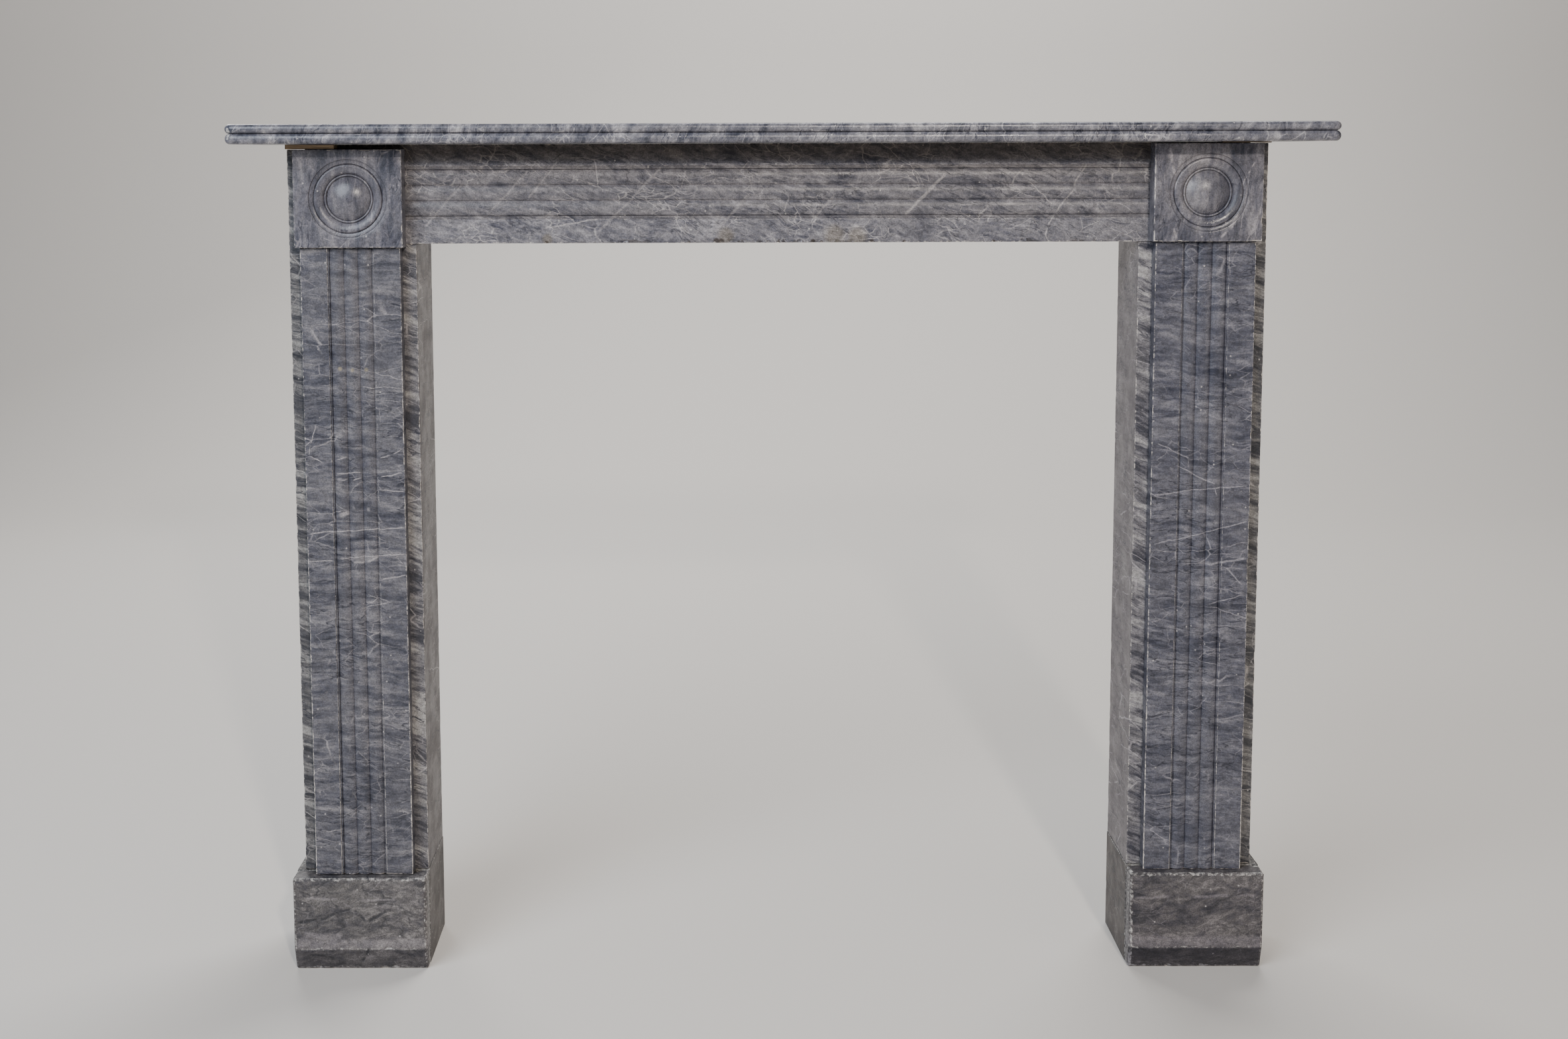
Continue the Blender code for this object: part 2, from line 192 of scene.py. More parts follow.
def sweepSlab(name, section, along, ends, ownWear, material, seed):
    # the outline is carried along one axis: point = outline - outward normal * inset, then
    # worn places sink by chipDepth * ramp(fine noise) * ramp(broad noise)
    wearing = dict(wearHabits, **ownWear)
    outline, outward, edge, groove = section.finish()
    place, inset, endWear = stations(*ends, wearing["step"], wearing["radius"], wearing["reach"])
    across = [axis for axis in range(3) if axis != along]
    rows, columns = len(place), len(outline)
    points = np.zeros((rows, columns, 3))
    points[..., across] = outline[None] - outward[None] * inset[:, None, None]
    points[..., along] = place[:, None]
    points = points.reshape(-1, 3)
    normal = np.zeros((rows, columns, 3))
    normal[..., across] = outward
    endSide = np.where(place < (ends[0] + ends[1]) / 2, -1, 1) * np.clip(endWear, 0, 1)
    normal[..., along] = endSide[:, None]
    normal = normal.reshape(-1, 3)
    normal /= np.maximum(np.linalg.norm(normal, axis=1), 1e-9)[:, None]
    # an upright slab may wear more toward the floor
    low = 1 + wearing["lowWear"] * smooth(*wearing["lowRange"], place)
    worn = np.maximum(edge[None, :] * low[:, None], endWear[:, None]).ravel()
    cell = wearing["chipSize"]
    fine = stoneNoise(points, cell, seed) * 0.7 + stoneNoise(points, cell / 3, seed + 1) * 0.3
    broad = stoneNoise(points, cell * wearing["broadCells"], seed + 2)
    chip = smooth(*wearing["chipRange"], fine) * smooth(*wearing["broadRange"], broad)
    chip = chip * wearing["chipPlace"](points)
    rub = wearing["rubShare"] * stoneNoise(points, wearing["rubCell"], seed + 3)
    depth = worn * (chip * wearing["chipDepth"] + rub * wearing["radius"])
    points = points - normal * depth[:, None]
    # the groove mark carries the outline's painted shade, and chips add painted shade where a slab asks for it
    marks = {
        "wear": np.clip(worn * (wearing["arrisPale"] + wearing["chipPale"] * chip), 0, 1),
        "groove": np.maximum(np.tile(groove, rows), worn * chip * wearing["chipShade"]),
        "side": smooth(*wearing["sideRange"], np.abs(normal[:, 0])),
    }
    return makeMesh(name, points, gridQuads(rows, columns), endCaps(rows, columns), marks, material)


# helpers for the materials

def node(tree, kind, **values):
    # a new shader node with the settings given
    made = tree.nodes.new(kind)
    for key, value in values.items():
        setattr(made, key, value)
    return made


def feed(tree, made, sockets):
    # links a socket or sets a plain value for each named or numbered input
    for key, value in sockets.items():
        target = made.inputs[key]
        if isinstance(value, bpy.types.NodeSocket):
            tree.links.new(value, target)
        else:
            target.default_value = value
    return made


def sums(tree, kind, a, b=0.0, c=0.0, clamp=False):
    # one step of arithmetic on two or three values
    made = node(tree, "ShaderNodeMath", operation=kind, use_clamp=clamp)
    return feed(tree, made, {0: a, 1: b, 2: c}).outputs[0]


def vectorSums(tree, kind, a, b):
    # one step of arithmetic on two places or colours
    made = node(tree, "ShaderNodeVectorMath", operation=kind)
    return feed(tree, made, {0: a, 1: b}).outputs[0]


def measured(tree, kind, a, b=(0.0, 0.0, 0.0)):
    # a length or a dot product: one number from one or two places
    made = node(tree, "ShaderNodeVectorMath", operation=kind)
    return feed(tree, made, {0: a, 1: b}).outputs["Value"]


def spread(tree, value, low, high, toLow=0.0, toHigh=1.0):
    # toLow below low, toHigh above high, and a smooth step between them
    made = node(tree, "ShaderNodeMapRange", interpolation_type="SMOOTHSTEP")
    feed(tree, made, {"Value": value, "From Min": low, "From Max": high, "To Min": toLow, "To Max": toHigh})
    return made.outputs[0]


def cloud(tree, place, scale, detail=3.0, rough=0.55, twist=0.0):
    # fractal noise, as one number and as a colour
    made = node(tree, "ShaderNodeTexNoise")
    feed(tree, made, {"Vector": place, "Scale": scale, "Detail": detail, "Roughness": rough, "Distortion": twist})
    return made.outputs["Fac"], made.outputs["Color"]


def cells(tree, place, factors, width):
    # 1 on the walls between random cells, fading to 0 at the width given
    walls = node(tree, "ShaderNodeTexVoronoi", feature="DISTANCE_TO_EDGE")
    feed(tree, walls, {"Vector": scaledPlace(tree, place, factors), "Scale": 1.0, "Randomness": 1.0})
    return spread(tree, walls.outputs["Distance"], 0.0, width, 1.0, 0.0)


def blend(tree, share, a, b, kind="MIX"):
    # colour a * (1 - share) + b * share, or their product by that share
    made = node(tree, "ShaderNodeMix", data_type="RGBA", blend_type=kind)
    feed(tree, made, {0: share, 6: a, 7: b})
    return made.outputs[2]


def tones(tree, value, stops):
    # colours eased between the stops given
    made = node(tree, "ShaderNodeValToRGB")
    ramp = made.color_ramp
    ramp.interpolation = "EASE"
    while len(ramp.elements) < len(stops):
        ramp.elements.new(0.5)
    for element, (place, colour) in zip(ramp.elements, stops):
        element.position = place
        element.color = (*colour, 1)
    feed(tree, made, {0: value})
    return made.outputs[0]


def mark(tree, name):
    # what the mesh says of each point: wear, groove or side
    return node(tree, "ShaderNodeAttribute", attribute_name=name).outputs["Fac"]


def scaledPlace(tree, place, factors):
    # the place times a factor for each axis, so that a pattern is stretched
    return vectorSums(tree, "MULTIPLY", place, factors)


def swaying(tree, place, scale, amount):
    # (noise colour - one half) * amount, which pushes a place about
    _, push = cloud(tree, place, scale, 2.0, 0.5)
    return scaledPlace(tree, vectorSums(tree, "SUBTRACT", push, (0.5, 0.5, 0.5)), (amount,) * 3)


def gated(tree, value, place, scale, low, high, share):
    # a mask that comes and goes with a slow noise
    gate, _ = cloud(tree, place, scale, 2.0, 0.5)
    return sums(tree, "MULTIPLY", value, spread(tree, gate, low, high, 0.0, share))


def drawnVein(tree, place, vein):
    # a thin line from one place on the face to another: 1 on the line, fading across it and at its ends
    startX, startZ, endX, endZ, width = vein
    length = math.hypot(endX - startX, endZ - startZ)
    alongX, alongZ = (endX - startX) / length, (endZ - startZ) / length
    offset = vectorSums(tree, "SUBTRACT", place, (startX, 0.0, startZ))
    along = measured(tree, "DOT_PRODUCT", offset, (alongX, 0.0, alongZ))
    across = measured(tree, "DOT_PRODUCT", offset, (-alongZ, 0.0, alongX))
    line = spread(tree, sums(tree, "ABSOLUTE", across), 0.25 * width, width, 1.0, 0.0)
    start = spread(tree, along, 0.0, stoneHabits["veinFade"], 0.0, 1.0)
    end = spread(tree, along, length - stoneHabits["veinFade"], length, 1.0, 0.0)
    return sums(tree, "MULTIPLY", sums(tree, "MULTIPLY", line, start), end)


stoneHabits = {                   # alike on every stone; scales are in cells per metre
    "veinFade": 0.006, "driftRange": (0.42, 0.68), "crackInk": 0.95, "stainShare": 0.4, "spotShare": 0.85,
    "darkGate": (0.60, 0.44), "veinGate": (0.5, 0.64), "fineGate": (0.46, 0.64), "patchRange": (0.66, 0.80),
    "grainScale": 520.0, "grainRange": (0.28, 0.72), "mottleScale": 130.0, "mottleRange": (0.3, 0.7),
    "sparScale": 150.0, "sparSize": (0.08, 0.26), "sparInk": 0.8,
    "rubScale": 210.0, "rubDots": 1.5, "rubRange": (0.55, 1.0), "rubRough": 0.25,
    "polishScale": 26.0, "polishRange": (0.3, 0.72), "bumpDepth": 0.0006,
}


def marble(name, look):
    # veined stone: broad bands, feathered streaks, white and dark threads, crackle, specks, worn edges, painted shade
    habits = stoneHabits
    material = bpy.data.materials.new(name)
    material.use_nodes = True
    tree = material.node_tree
    shader = tree.nodes["Principled BSDF"]
    coords = node(tree, "ShaderNodeTexCoord").outputs["Object"]
    turned = node(tree, "ShaderNodeMapping")
    feed(tree, turned, {"Vector": coords, "Location": look["shift"], "Rotation": look["turn"]})
    place = turned.outputs[0]

    # a slow and a quick noise push the pattern about, so that no band runs straight
    push = swaying(tree, place, look["warpScale"], look["warp"])
    flutter = swaying(tree, place, look["flutterScale"], look["flutter"])
    bent = vectorSums(tree, "ADD", vectorSums(tree, "ADD", place, push), flutter)
    wavy = vectorSums(tree, "ADD", coords, flutter)

    # tone = broad bands + feathered streaks, then coloured from dark to pale, and calmer on the sides
    band, _ = cloud(tree, scaledPlace(tree, bent, look["bandCells"]), 1.0, 3.0, 0.5)
    streak, _ = cloud(tree, scaledPlace(tree, bent, look["streakCells"]), 1.0, 5.0, 0.68)
    tone = sums(tree, "MULTIPLY_ADD", sums(tree, "SUBTRACT", band, 0.5), look["bandShare"], streak)
    calm = sums(tree, "MULTIPLY", mark(tree, "side"), look["calm"])
    tone = sums(tree, "MULTIPLY", sums(tree, "SUBTRACT", tone, 0.5), sums(tree, "SUBTRACT", 1.0, calm))
    colour = tones(tree, sums(tree, "ADD", tone, 0.5), look["bandTones"])
    drift, _ = cloud(tree, bent, look["driftScale"], 3.0, 0.6)
    drift = spread(tree, drift, *habits["driftRange"], 0.0, look["driftShare"])
    colour = blend(tree, drift, colour, (*look["driftColour"], 1))
    colour = blend(tree, calm, colour, (*look["sideColour"], 1))

    # dark threads wander along the bands: thin lines where a noise passes through its middle value
    middle, _ = cloud(tree, scaledPlace(tree, bent, look["darkCells"]), 1.0, 3.0, 0.55)
    dark = sums(tree, "ABSOLUTE", sums(tree, "SUBTRACT", middle, 0.5))
    dark = spread(tree, dark, 0.0, look["darkWidth"], 1.0, 0.0)
    dark = gated(tree, dark, place, look["gateScale"], *habits["darkGate"], look["darkShare"])
    for vein in look.get("cracks", ()):
        drawn = sums(tree, "MULTIPLY", drawnVein(tree, wavy, vein), habits["crackInk"])
        dark = sums(tree, "MAXIMUM", dark, drawn)
    colour = blend(tree, dark, colour, (*look["darkColour"], 1))

    # white veins are the walls between stretched cells, and come and go
    opening = [edge - look["veinOpen"] for edge in habits["veinGate"]]
    white = cells(tree, bent, look["veinCells"], look["veinWidth"])
    white = gated(tree, white, place, look["gateScale"] * 1.3, *opening, look["veinShare"])
    fine = cells(tree, bent, look["crackleCells"], look["crackleWidth"])
    fine = gated(tree, fine, place, look["gateScale"] * 2.2, *habits["fineGate"], look["crackleShare"])
    white = sums(tree, "MAXIMUM", white, fine)
    cloudy, _ = cloud(tree, bent, look["flutterScale"] * 1.4, 3.0, 0.6)
    cloudy = spread(tree, cloudy, *habits["patchRange"], 0.0, look["patchShare"])
    white = sums(tree, "MAXIMUM", white, cloudy)
    for drawnList, ink in (("veins", look["veinInk"]), ("faintVeins", look["faintInk"])):
        for vein in look.get(drawnList, ()):
            drawn = sums(tree, "MULTIPLY", drawnVein(tree, wavy, vein), ink)
            white = sums(tree, "MAXIMUM", white, drawn)
    colour = blend(tree, white, colour, (*look["veinColour"], 1))

    # stains, filled holes and the painted shade in the frieze's nicks are round on the face, with a ragged rim
    ragged = vectorSums(tree, "ADD", coords, scaledPlace(tree, flutter, (0.25, 0.25, 0.25)))
    for drawnList, tint, share in (("stains", "stainColour", "stainShare"), ("spots", "spotColour", "spotShare")):
        for spotX, spotZ, radius in look.get(drawnList, ()):
            away = vectorSums(tree, "SUBTRACT", ragged, (spotX, 0.0, spotZ))
            away = measured(tree, "LENGTH", scaledPlace(tree, away, (1.0, 0.0, 1.0)))
            away = spread(tree, away, 0.4 * radius, radius, habits[share], 0.0)
            colour = blend(tree, away, colour, (*look[tint], 1))

    # grain, and specks of spar
    grain, _ = cloud(tree, coords, habits["grainScale"], 2.0, 0.75)
    mottle, _ = cloud(tree, coords, habits["mottleScale"], 3.0, 0.7)
    shade = sums(tree, "ADD", spread(tree, grain, *habits["grainRange"], 1 - look["grain"], 1 + look["grain"]),
                 spread(tree, mottle, *habits["mottleRange"], -look["mottle"], look["mottle"]))
    shades = {k: sums(tree, "MULTIPLY", shade, look["tone"][k]) for k in range(3)}
    shadeColour = feed(tree, node(tree, "ShaderNodeCombineColor"), shades).outputs[0]
    colour = blend(tree, 1.0, colour, shadeColour, "MULTIPLY")
    spar = node(tree, "ShaderNodeTexVoronoi", feature="F1")
    feed(tree, spar, {"Vector": coords, "Scale": habits["sparScale"], "Randomness": 1.0})
    pick = feed(tree, node(tree, "ShaderNodeSeparateColor"), {0: spar.outputs["Color"]}).outputs[0]
    speck = sums(tree, "MULTIPLY", spread(tree, spar.outputs["Distance"], *habits["sparSize"], 1.0, 0.0),
                 spread(tree, pick, 1 - look["specks"], 1.01 - look["specks"], 0.0, habits["sparInk"]))
    colour = blend(tree, speck, colour, (*look["veinColour"], 1))

    # worn arrises go pale in dots and dashes; the groove mark paints shade into quirks, fillets, chips, rings, the
    # plinth foot and the band under the shelf
    dots, _ = cloud(tree, coords, habits["rubScale"], 3.0, 0.7)
    dots = sums(tree, "MULTIPLY", sums(tree, "SUBTRACT", dots, 0.5), habits["rubDots"])
    rub = sums(tree, "ADD", mark(tree, "wear"), dots)
    rub = spread(tree, rub, *habits["rubRange"], 0.0, look["wearShare"])
    colour = blend(tree, rub, colour, (*look["wearColour"], 1))
    paintedShade = sums(tree, "MULTIPLY", mark(tree, "groove"), look["paintedShadeShare"], clamp=True)
    colour = blend(tree, paintedShade, colour, blend(tree, 1.0, colour, (*look["paintedShadeColour"], 1), "MULTIPLY"))
    tree.links.new(colour, shader.inputs["Base Color"])

    # sheen: cloudy polish, duller where rubbed
    polish, _ = cloud(tree, coords, habits["polishScale"], 3.0, 0.6)
    rough = spread(tree, polish, *habits["polishRange"], *look["rough"])
    rough = sums(tree, "ADD", rough, sums(tree, "MULTIPLY", rub, habits["rubRough"]), clamp=True)
    tree.links.new(rough, shader.inputs["Roughness"])
    shader.inputs["IOR"].default_value = 1.5
    shader.inputs["Specular IOR Level"].default_value = look["gloss"]

    # relief = mottle + grain, less the dark threads, which weather back
    height = sums(tree, "MULTIPLY_ADD", mottle, 0.6, sums(tree, "MULTIPLY", grain, 0.35))
    height = sums(tree, "SUBTRACT", height, sums(tree, "MULTIPLY", dark, 0.5))
    bump = node(tree, "ShaderNodeBump")
    feed(tree, bump, {"Height": height, "Strength": look["bump"], "Distance": habits["bumpDepth"]})
    tree.links.new(bump.outputs[0], shader.inputs["Normal"])
    return material


# camera, floor and light

view = {
    "place": (-0.0816, -2.3977, 1.1813),
    "below": 0.0933,               # radians below level
    "lean": 0.0033,
    "turn": 0.0016,
    "focal": 2540.0,               # in pixels of the photograph
    "centre": (1087.1, 469.8),     # pixel straight ahead of the lens
    "size": (2367, 1568),
}


def makeCamera():
    lens = bpy.data.cameras.new("camera")
    lens.sensor_width = 36.0
    lens.lens = view["focal"] / view["size"][0] * lens.sensor_width
    lens.shift_x = (view["size"][0] / 2 - view["centre"][0]) / view["size"][0]
    lens.shift_y = (view["centre"][1] - view["size"][1] / 2) / view["size"][0]
    lens.clip_end = 60
    camera = bpy.data.objects.new("camera", lens)
    camera.location = view["place"]
    camera.rotation_euler = (math.pi / 2 - view["below"], view["lean"], view["turn"])
    bpy.context.scene.collection.objects.link(camera)
    bpy.context.scene.camera = camera


studio = {
    "front": -9.0, "back": 4.6, "halfWidth": 11.0, "height": 6.0, "bend": 1.6,
    "paint": (0.64, 0.61, 0.575),
    "lampPlace": (0.76, -3.77, 2.68), "lampSize": 0.22, "lampPower": 95.0, "lampColour": (1.0, 0.90, 0.79),
    "windowPlace": (-2.2, -2.6, 2.78), "windowSize": 2.8, "windowPower": 150.0, "windowColour": (0.84, 0.91, 1.0),
    "fillPlace": (3.4, -2.6, 1.0), "fillSize": 2.4, "fillPower": 21.0, "fillColour": (1.0, 0.93, 0.87),
    "skyPower": 0.04, "skyColour": (0.95, 0.96, 1.0),
    "rearPlace": (0.8, 1.9, 4.6), "rearSize": 2.4, "rearPower": 205.0, "rearTarget": (0.0, 4.2, 1.2),
    "backPlace": (-1.9, 3.2, 2.6), "backSize": 1.2, "backPower": 40.0,
}


def areaLight(name, place, size, power, colour, target=(0.0, 0.0, 0.7)):
    light = bpy.data.lights.new(name, "AREA")
    light.shape = "DISK"
    light.size = size
    light.energy = power
    light.color = colour
    lamp = bpy.data.objects.new(name, light)
    lamp.location = place
    aim = np.array(target) - np.array(place)
    flat = math.hypot(aim[0], aim[1])
    lamp.rotation_euler = (math.atan2(flat, -aim[2]), 0.0, math.atan2(-aim[0], aim[1]))
    lamp.visible_camera = False
    bpy.context.scene.collection.objects.link(lamp)


def makeStudio():
    # floor profile: level, then a quarter bend of radius bend, then upright far behind the piece
    turn = np.linspace(0, math.pi / 2, 16)
    profileY = np.concatenate([[studio["front"]], studio["back"] - studio["bend"] + studio["bend"] * np.sin(turn), [studio["back"]]])
    profileZ = np.concatenate([[0.0], studio["bend"] * (1 - np.cos(turn)), [studio["height"]]])
    rows = len(profileY)
    points = np.zeros((rows, 2, 3))
    points[:, 0, 0] = -studio["halfWidth"]
    points[:, 1, 0] = studio["halfWidth"]
    points[..., 1] = profileY[:, None]
    points[..., 2] = profileZ[:, None]
    mesh = bpy.data.meshes.new("studio_floor")
    quads = gridQuads(rows, 2, closed=False)
    mesh.from_pydata(points.reshape(-1, 3).tolist(), [], quads.tolist())
    mesh.shade_smooth()
    paint = bpy.data.materials.new("studio_paint")
    paint.use_nodes = True
    paint.node_tree.nodes["Principled BSDF"].inputs["Base Color"].default_value = (*studio["paint"], 1)
    paint.node_tree.nodes["Principled BSDF"].inputs["Roughness"].default_value = 0.85
    mesh.materials.append(paint)
    floor = bpy.data.objects.new("studio_floor", mesh)
    bpy.context.scene.collection.objects.link(floor)
    world = bpy.data.worlds.new("studio_sky")
    world.use_nodes = True
    sky = world.node_tree.nodes["Background"]
    sky.inputs["Color"].default_value = (*studio["skyColour"], 1)
    sky.inputs["Strength"].default_value = studio["skyPower"]
    bpy.context.scene.world = world
    areaLight("lamp", studio["lampPlace"], studio["lampSize"], studio["lampPower"], studio["lampColour"])
    areaLight("window", studio["windowPlace"], studio["windowSize"], studio["windowPower"], studio["windowColour"])
    areaLight("fill", studio["fillPlace"], studio["fillSize"], studio["fillPower"], studio["fillColour"])
    areaLight("rear", studio["rearPlace"], studio["rearSize"], studio["rearPower"], (1, 1, 1), studio["rearTarget"])
    areaLight("back", studio["backPlace"], studio["backSize"], studio["backPower"], (1, 1, 1))


makeCamera()
makeStudio()
print("camera, floor and lights made")

# reeded jamb panels

panel = {
    # quirks and fillets get painted shade; the left fillet, shaded from the window light, far more than the right
    "reeds": 3, "reedWidth": 0.0200, "reedRise": 0.0031, "quirkWidth": 0.0010, "quirkDepth": 0.0007, "quirkShade": 0.6, "reedWear": 0.45,
    "fillet": 0.0022, "filletSink": 0.0016, "filletShade": (0.55, 0.1), "reedSteps": 16,
    "radius": 0.0010, "reach": 0.0030, "step": 0.0030, "chipSize": 0.007, "chipDepth": 0.0014, "lowWear": 0.3,
    # the stone; the other pieces start from it
    "look": {
        "tone": (1.0, 1.0, 1.0), "shift": (0.3, 0.0, 0.2), "turn": (0.0, -0.06, 0.0), "warpScale": 9.0, "warp": 0.026,
        "flutterScale": 46.0, "flutter": 0.007,
        "bandCells": (6.0, 6.0, 34.0), "bandShare": 0.62, "streakCells": (26.0, 26.0, 122.0),
        "bandTones": [(0.30, (0.030, 0.033, 0.048)), (0.44, (0.072, 0.074, 0.092)), (0.54, (0.122, 0.121, 0.136)), (0.70, (0.215, 0.209, 0.216))],
        "driftScale": 11.0, "driftShare": 0.35, "driftColour": (0.135, 0.131, 0.138), "calm": 0.0, "sideColour": (0.15, 0.14, 0.13),
        "gateScale": 9.0, "veinCells": (9.0, 12.0, 34.0), "veinWidth": 0.020, "veinOpen": 0.0, "veinShare": 0.55,
        "veinColour": (0.46, 0.435, 0.43), "crackleCells": (34.0, 34.0, 84.0), "crackleWidth": 0.045, "crackleShare": 0.30,
        "patchShare": 0.35, "darkCells": (11.0, 12.0, 60.0), "darkWidth": 0.020, "darkShare": 0.85, "darkColour": (0.022, 0.024, 0.036),
        "grain": 0.21, "mottle": 0.19, "specks": 0.04, "wearShare": 0.95, "wearColour": (0.58, 0.54, 0.50),
        "spotColour": (0.29, 0.255, 0.185),
        # the share and colour below set how dark and what tint the painted shade in grooves takes
        "veinInk": 0.75, "faintInk": 0.22, "paintedShadeShare": 0.60, "paintedShadeColour": (0.28, 0.27, 0.28), "rough": (0.28, 0.50), "gloss": 0.5,
        "bump": 0.45,
    },
    "tone": {"left": (0.860, 0.855, 0.890), "right": (0.800, 0.810, 0.895)},
    "veinInk": {"left": 0.70, "right": 0.52},
    # drawn veins: start and end on the face (x, z, x, z), then the line's half width
    "veins": {
        "left": [
            (-0.6734, 0.6449, -0.5354, 0.6522, 0.0011), (-0.6330, 0.7490, -0.6160, 0.7546, 0.0011),
            (-0.5709, 0.7535, -0.5520, 0.7573, 0.0011), (-0.5520, 0.7573, -0.5386, 0.7681, 0.0011),
            (-0.5696, 0.7259, -0.5356, 0.7306, 0.0011), (-0.5700, 0.7068, -0.5343, 0.7057, 0.0011),
            (-0.6344, 0.7309, -0.5939, 0.7317, 0.0011), (-0.6281, 0.7203, -0.6148, 0.7232, 0.0011),
            (-0.6093, 0.7184, -0.5941, 0.7250, 0.0011), (-0.6801, 0.6045, -0.6366, 0.6044, 0.0011),
            (-0.6327, 0.6082, -0.5343, 0.6147, 0.0011), (-0.6121, 0.6024, -0.5913, 0.6023, 0.0024),
            (-0.5913, 0.6023, -0.5721, 0.6129, 0.0024), (-0.5729, 0.5782, -0.5349, 0.5839, 0.0011),
            (-0.6580, 0.8022, -0.6682, 0.7719, 0.0009), (-0.6682, 0.7719, -0.6686, 0.7567, 0.0009),
            (-0.6686, 0.7567, -0.6501, 0.7452, 0.0009), (-0.6312, 0.6687, -0.6141, 0.6754, 0.0045),
            (-0.6112, 0.6792, -0.6055, 0.6811, 0.0040), (-0.5914, 0.6772, -0.5838, 0.6791, 0.0040),
        ],
        "right": [
            (0.5274, 0.6969, 0.6635, 0.7108, 0.0012), (0.5594, 0.7397, 0.6165, 0.7109, 0.0012),
            (0.5289, 0.6250, 0.6648, 0.6582, 0.0012), (0.6022, 0.5960, 0.6634, 0.6054, 0.0024),
            (0.5306, 0.7702, 0.5799, 0.7491, 0.0012), (0.6137, 0.7090, 0.6197, 0.6937, 0.0012),
        ],
    },
    # filled holes: middle on the face (x, z), then radius
    "spots": {"left": [(-0.6232, 0.8806, 0.0040), (-0.6055, 0.8786, 0.0036), (-0.5859, 0.8795, 0.0038)], "right": []},
}


def reededFace(section, start, count, width, shape, level, run):
    # each reed is an arc: sink = radius - sqrt(radius^2 - offset^2), with a narrow V quirk at its sides.
    # run maps (place across, sink into the stone) to the outline's own two numbers
    rise, quirk = shape["reedRise"], shape["quirkWidth"]
    half = width / 2 - quirk / 2
    radius = (half * half + rise * rise) / (2 * rise)
    floorSink = level + rise + shape["quirkDepth"]
    for reed in range(count):
        middle = start + (reed + 0.5) * width
        # the quirk rows, and the reed rows where a slab asks for it, carry painted shade
        section.raw(*run(middle - width / 2, floorSink), 0.0, shape["quirkShade"])
        offsets = np.sin(np.linspace(-1, 1, shape["reedSteps"] + 1) * math.pi / 2 * 0.98) * half
        for offset in offsets:
            sink = level + radius - math.sqrt(radius * radius - offset * offset)
            near = smooth(0.82, 0.98, abs(offset) / half)
            section.raw(*run(middle + offset, sink), shape["reedWear"] * near, shape.get("reedShade", 0.0))
    section.raw(*run(start + count * width, floorSink), 0.0, shape["quirkShade"])


def reededSlab(low, high, first, last, shape, run, width, thickness):
    # flat band, fillet, reeds, fillet, flat band, then the plain back
    section = Section()
    r, reach, sink = shape["radius"], shape["reach"], shape["filletSink"]
    fillet = shape["fillet"]
    section.worn(run(0, thickness), run(0, 0), run(first - fillet, 0), r, reach)
    section.worn(run(0, 0), run(first - fillet, 0), run(first - fillet, sink), sink * 0.35, sink * 0.85)
    # each fillet gets its own amount of painted shade
    shadeFirst, shadeLast = shape["filletShade"]
    section.raw(*run(first - fillet + 0.0002, sink), 0.0, shadeFirst)
    section.raw(*run(first - 0.0002, sink), 0.0, shadeFirst)
    reededFace(section, first, shape["reeds"], shape["reedWidth"], shape, 0.0, run)
    section.raw(*run(last + 0.0002, sink), 0.0, shadeLast)
    section.raw(*run(last + fillet - 0.0002, sink), 0.0, shadeLast)
    section.worn(run(last + fillet, sink), run(last + fillet, 0), run(width, 0), sink * 0.35, sink * 0.85)
    # rows on the upper band, and the top corner after them, carry a painted shadow of the shelf
    for place, paintedShade in shape.get("upperShadow", ()):
        section.raw(*run(place, 0), 0.0, paintedShade)
    section.worn(run(last, 0), run(width, 0), run(width, thickness), r, reach, shape.get("upperEdgeShadow", 0.0))
    section.worn(run(width, 0), run(width, thickness), run(0, thickness), r, reach)
    section.worn(run(width, thickness), run(0, thickness), run(0, 0), r, reach)
    return section


def makePanel(side, number):
    low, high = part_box(side + "_jamb_panel")
    width, thickness = high[0] - low[0], high[1] - low[1]
    reeded = panel["reeds"] * panel["reedWidth"]
    first = (width - reeded) / 2
    section = reededSlab(low, high, first, first + reeded, panel,
                         lambda place, sink: (low[0] + place, low[1] + sink), width, thickness)
    look = dict(panel["look"], shift=(0.37 * number, 0.2, 0.61 * number), tone=panel["tone"][side],
                veins=panel["veins"][side], spots=panel["spots"][side], veinInk=panel["veinInk"][side])
    stone = marble(side + "_panel_stone", look)
    piece = sweepSlab(side + "_reeded_panel", section, 2, (low[2], high[2]), panel, stone, 20 + number)
    dress(piece, side + "_jamb_panel")


for number, side in enumerate(("left", "right")):
    makePanel(side, number)
print("jamb panels made")

# plain slabs: returns and plinth sides

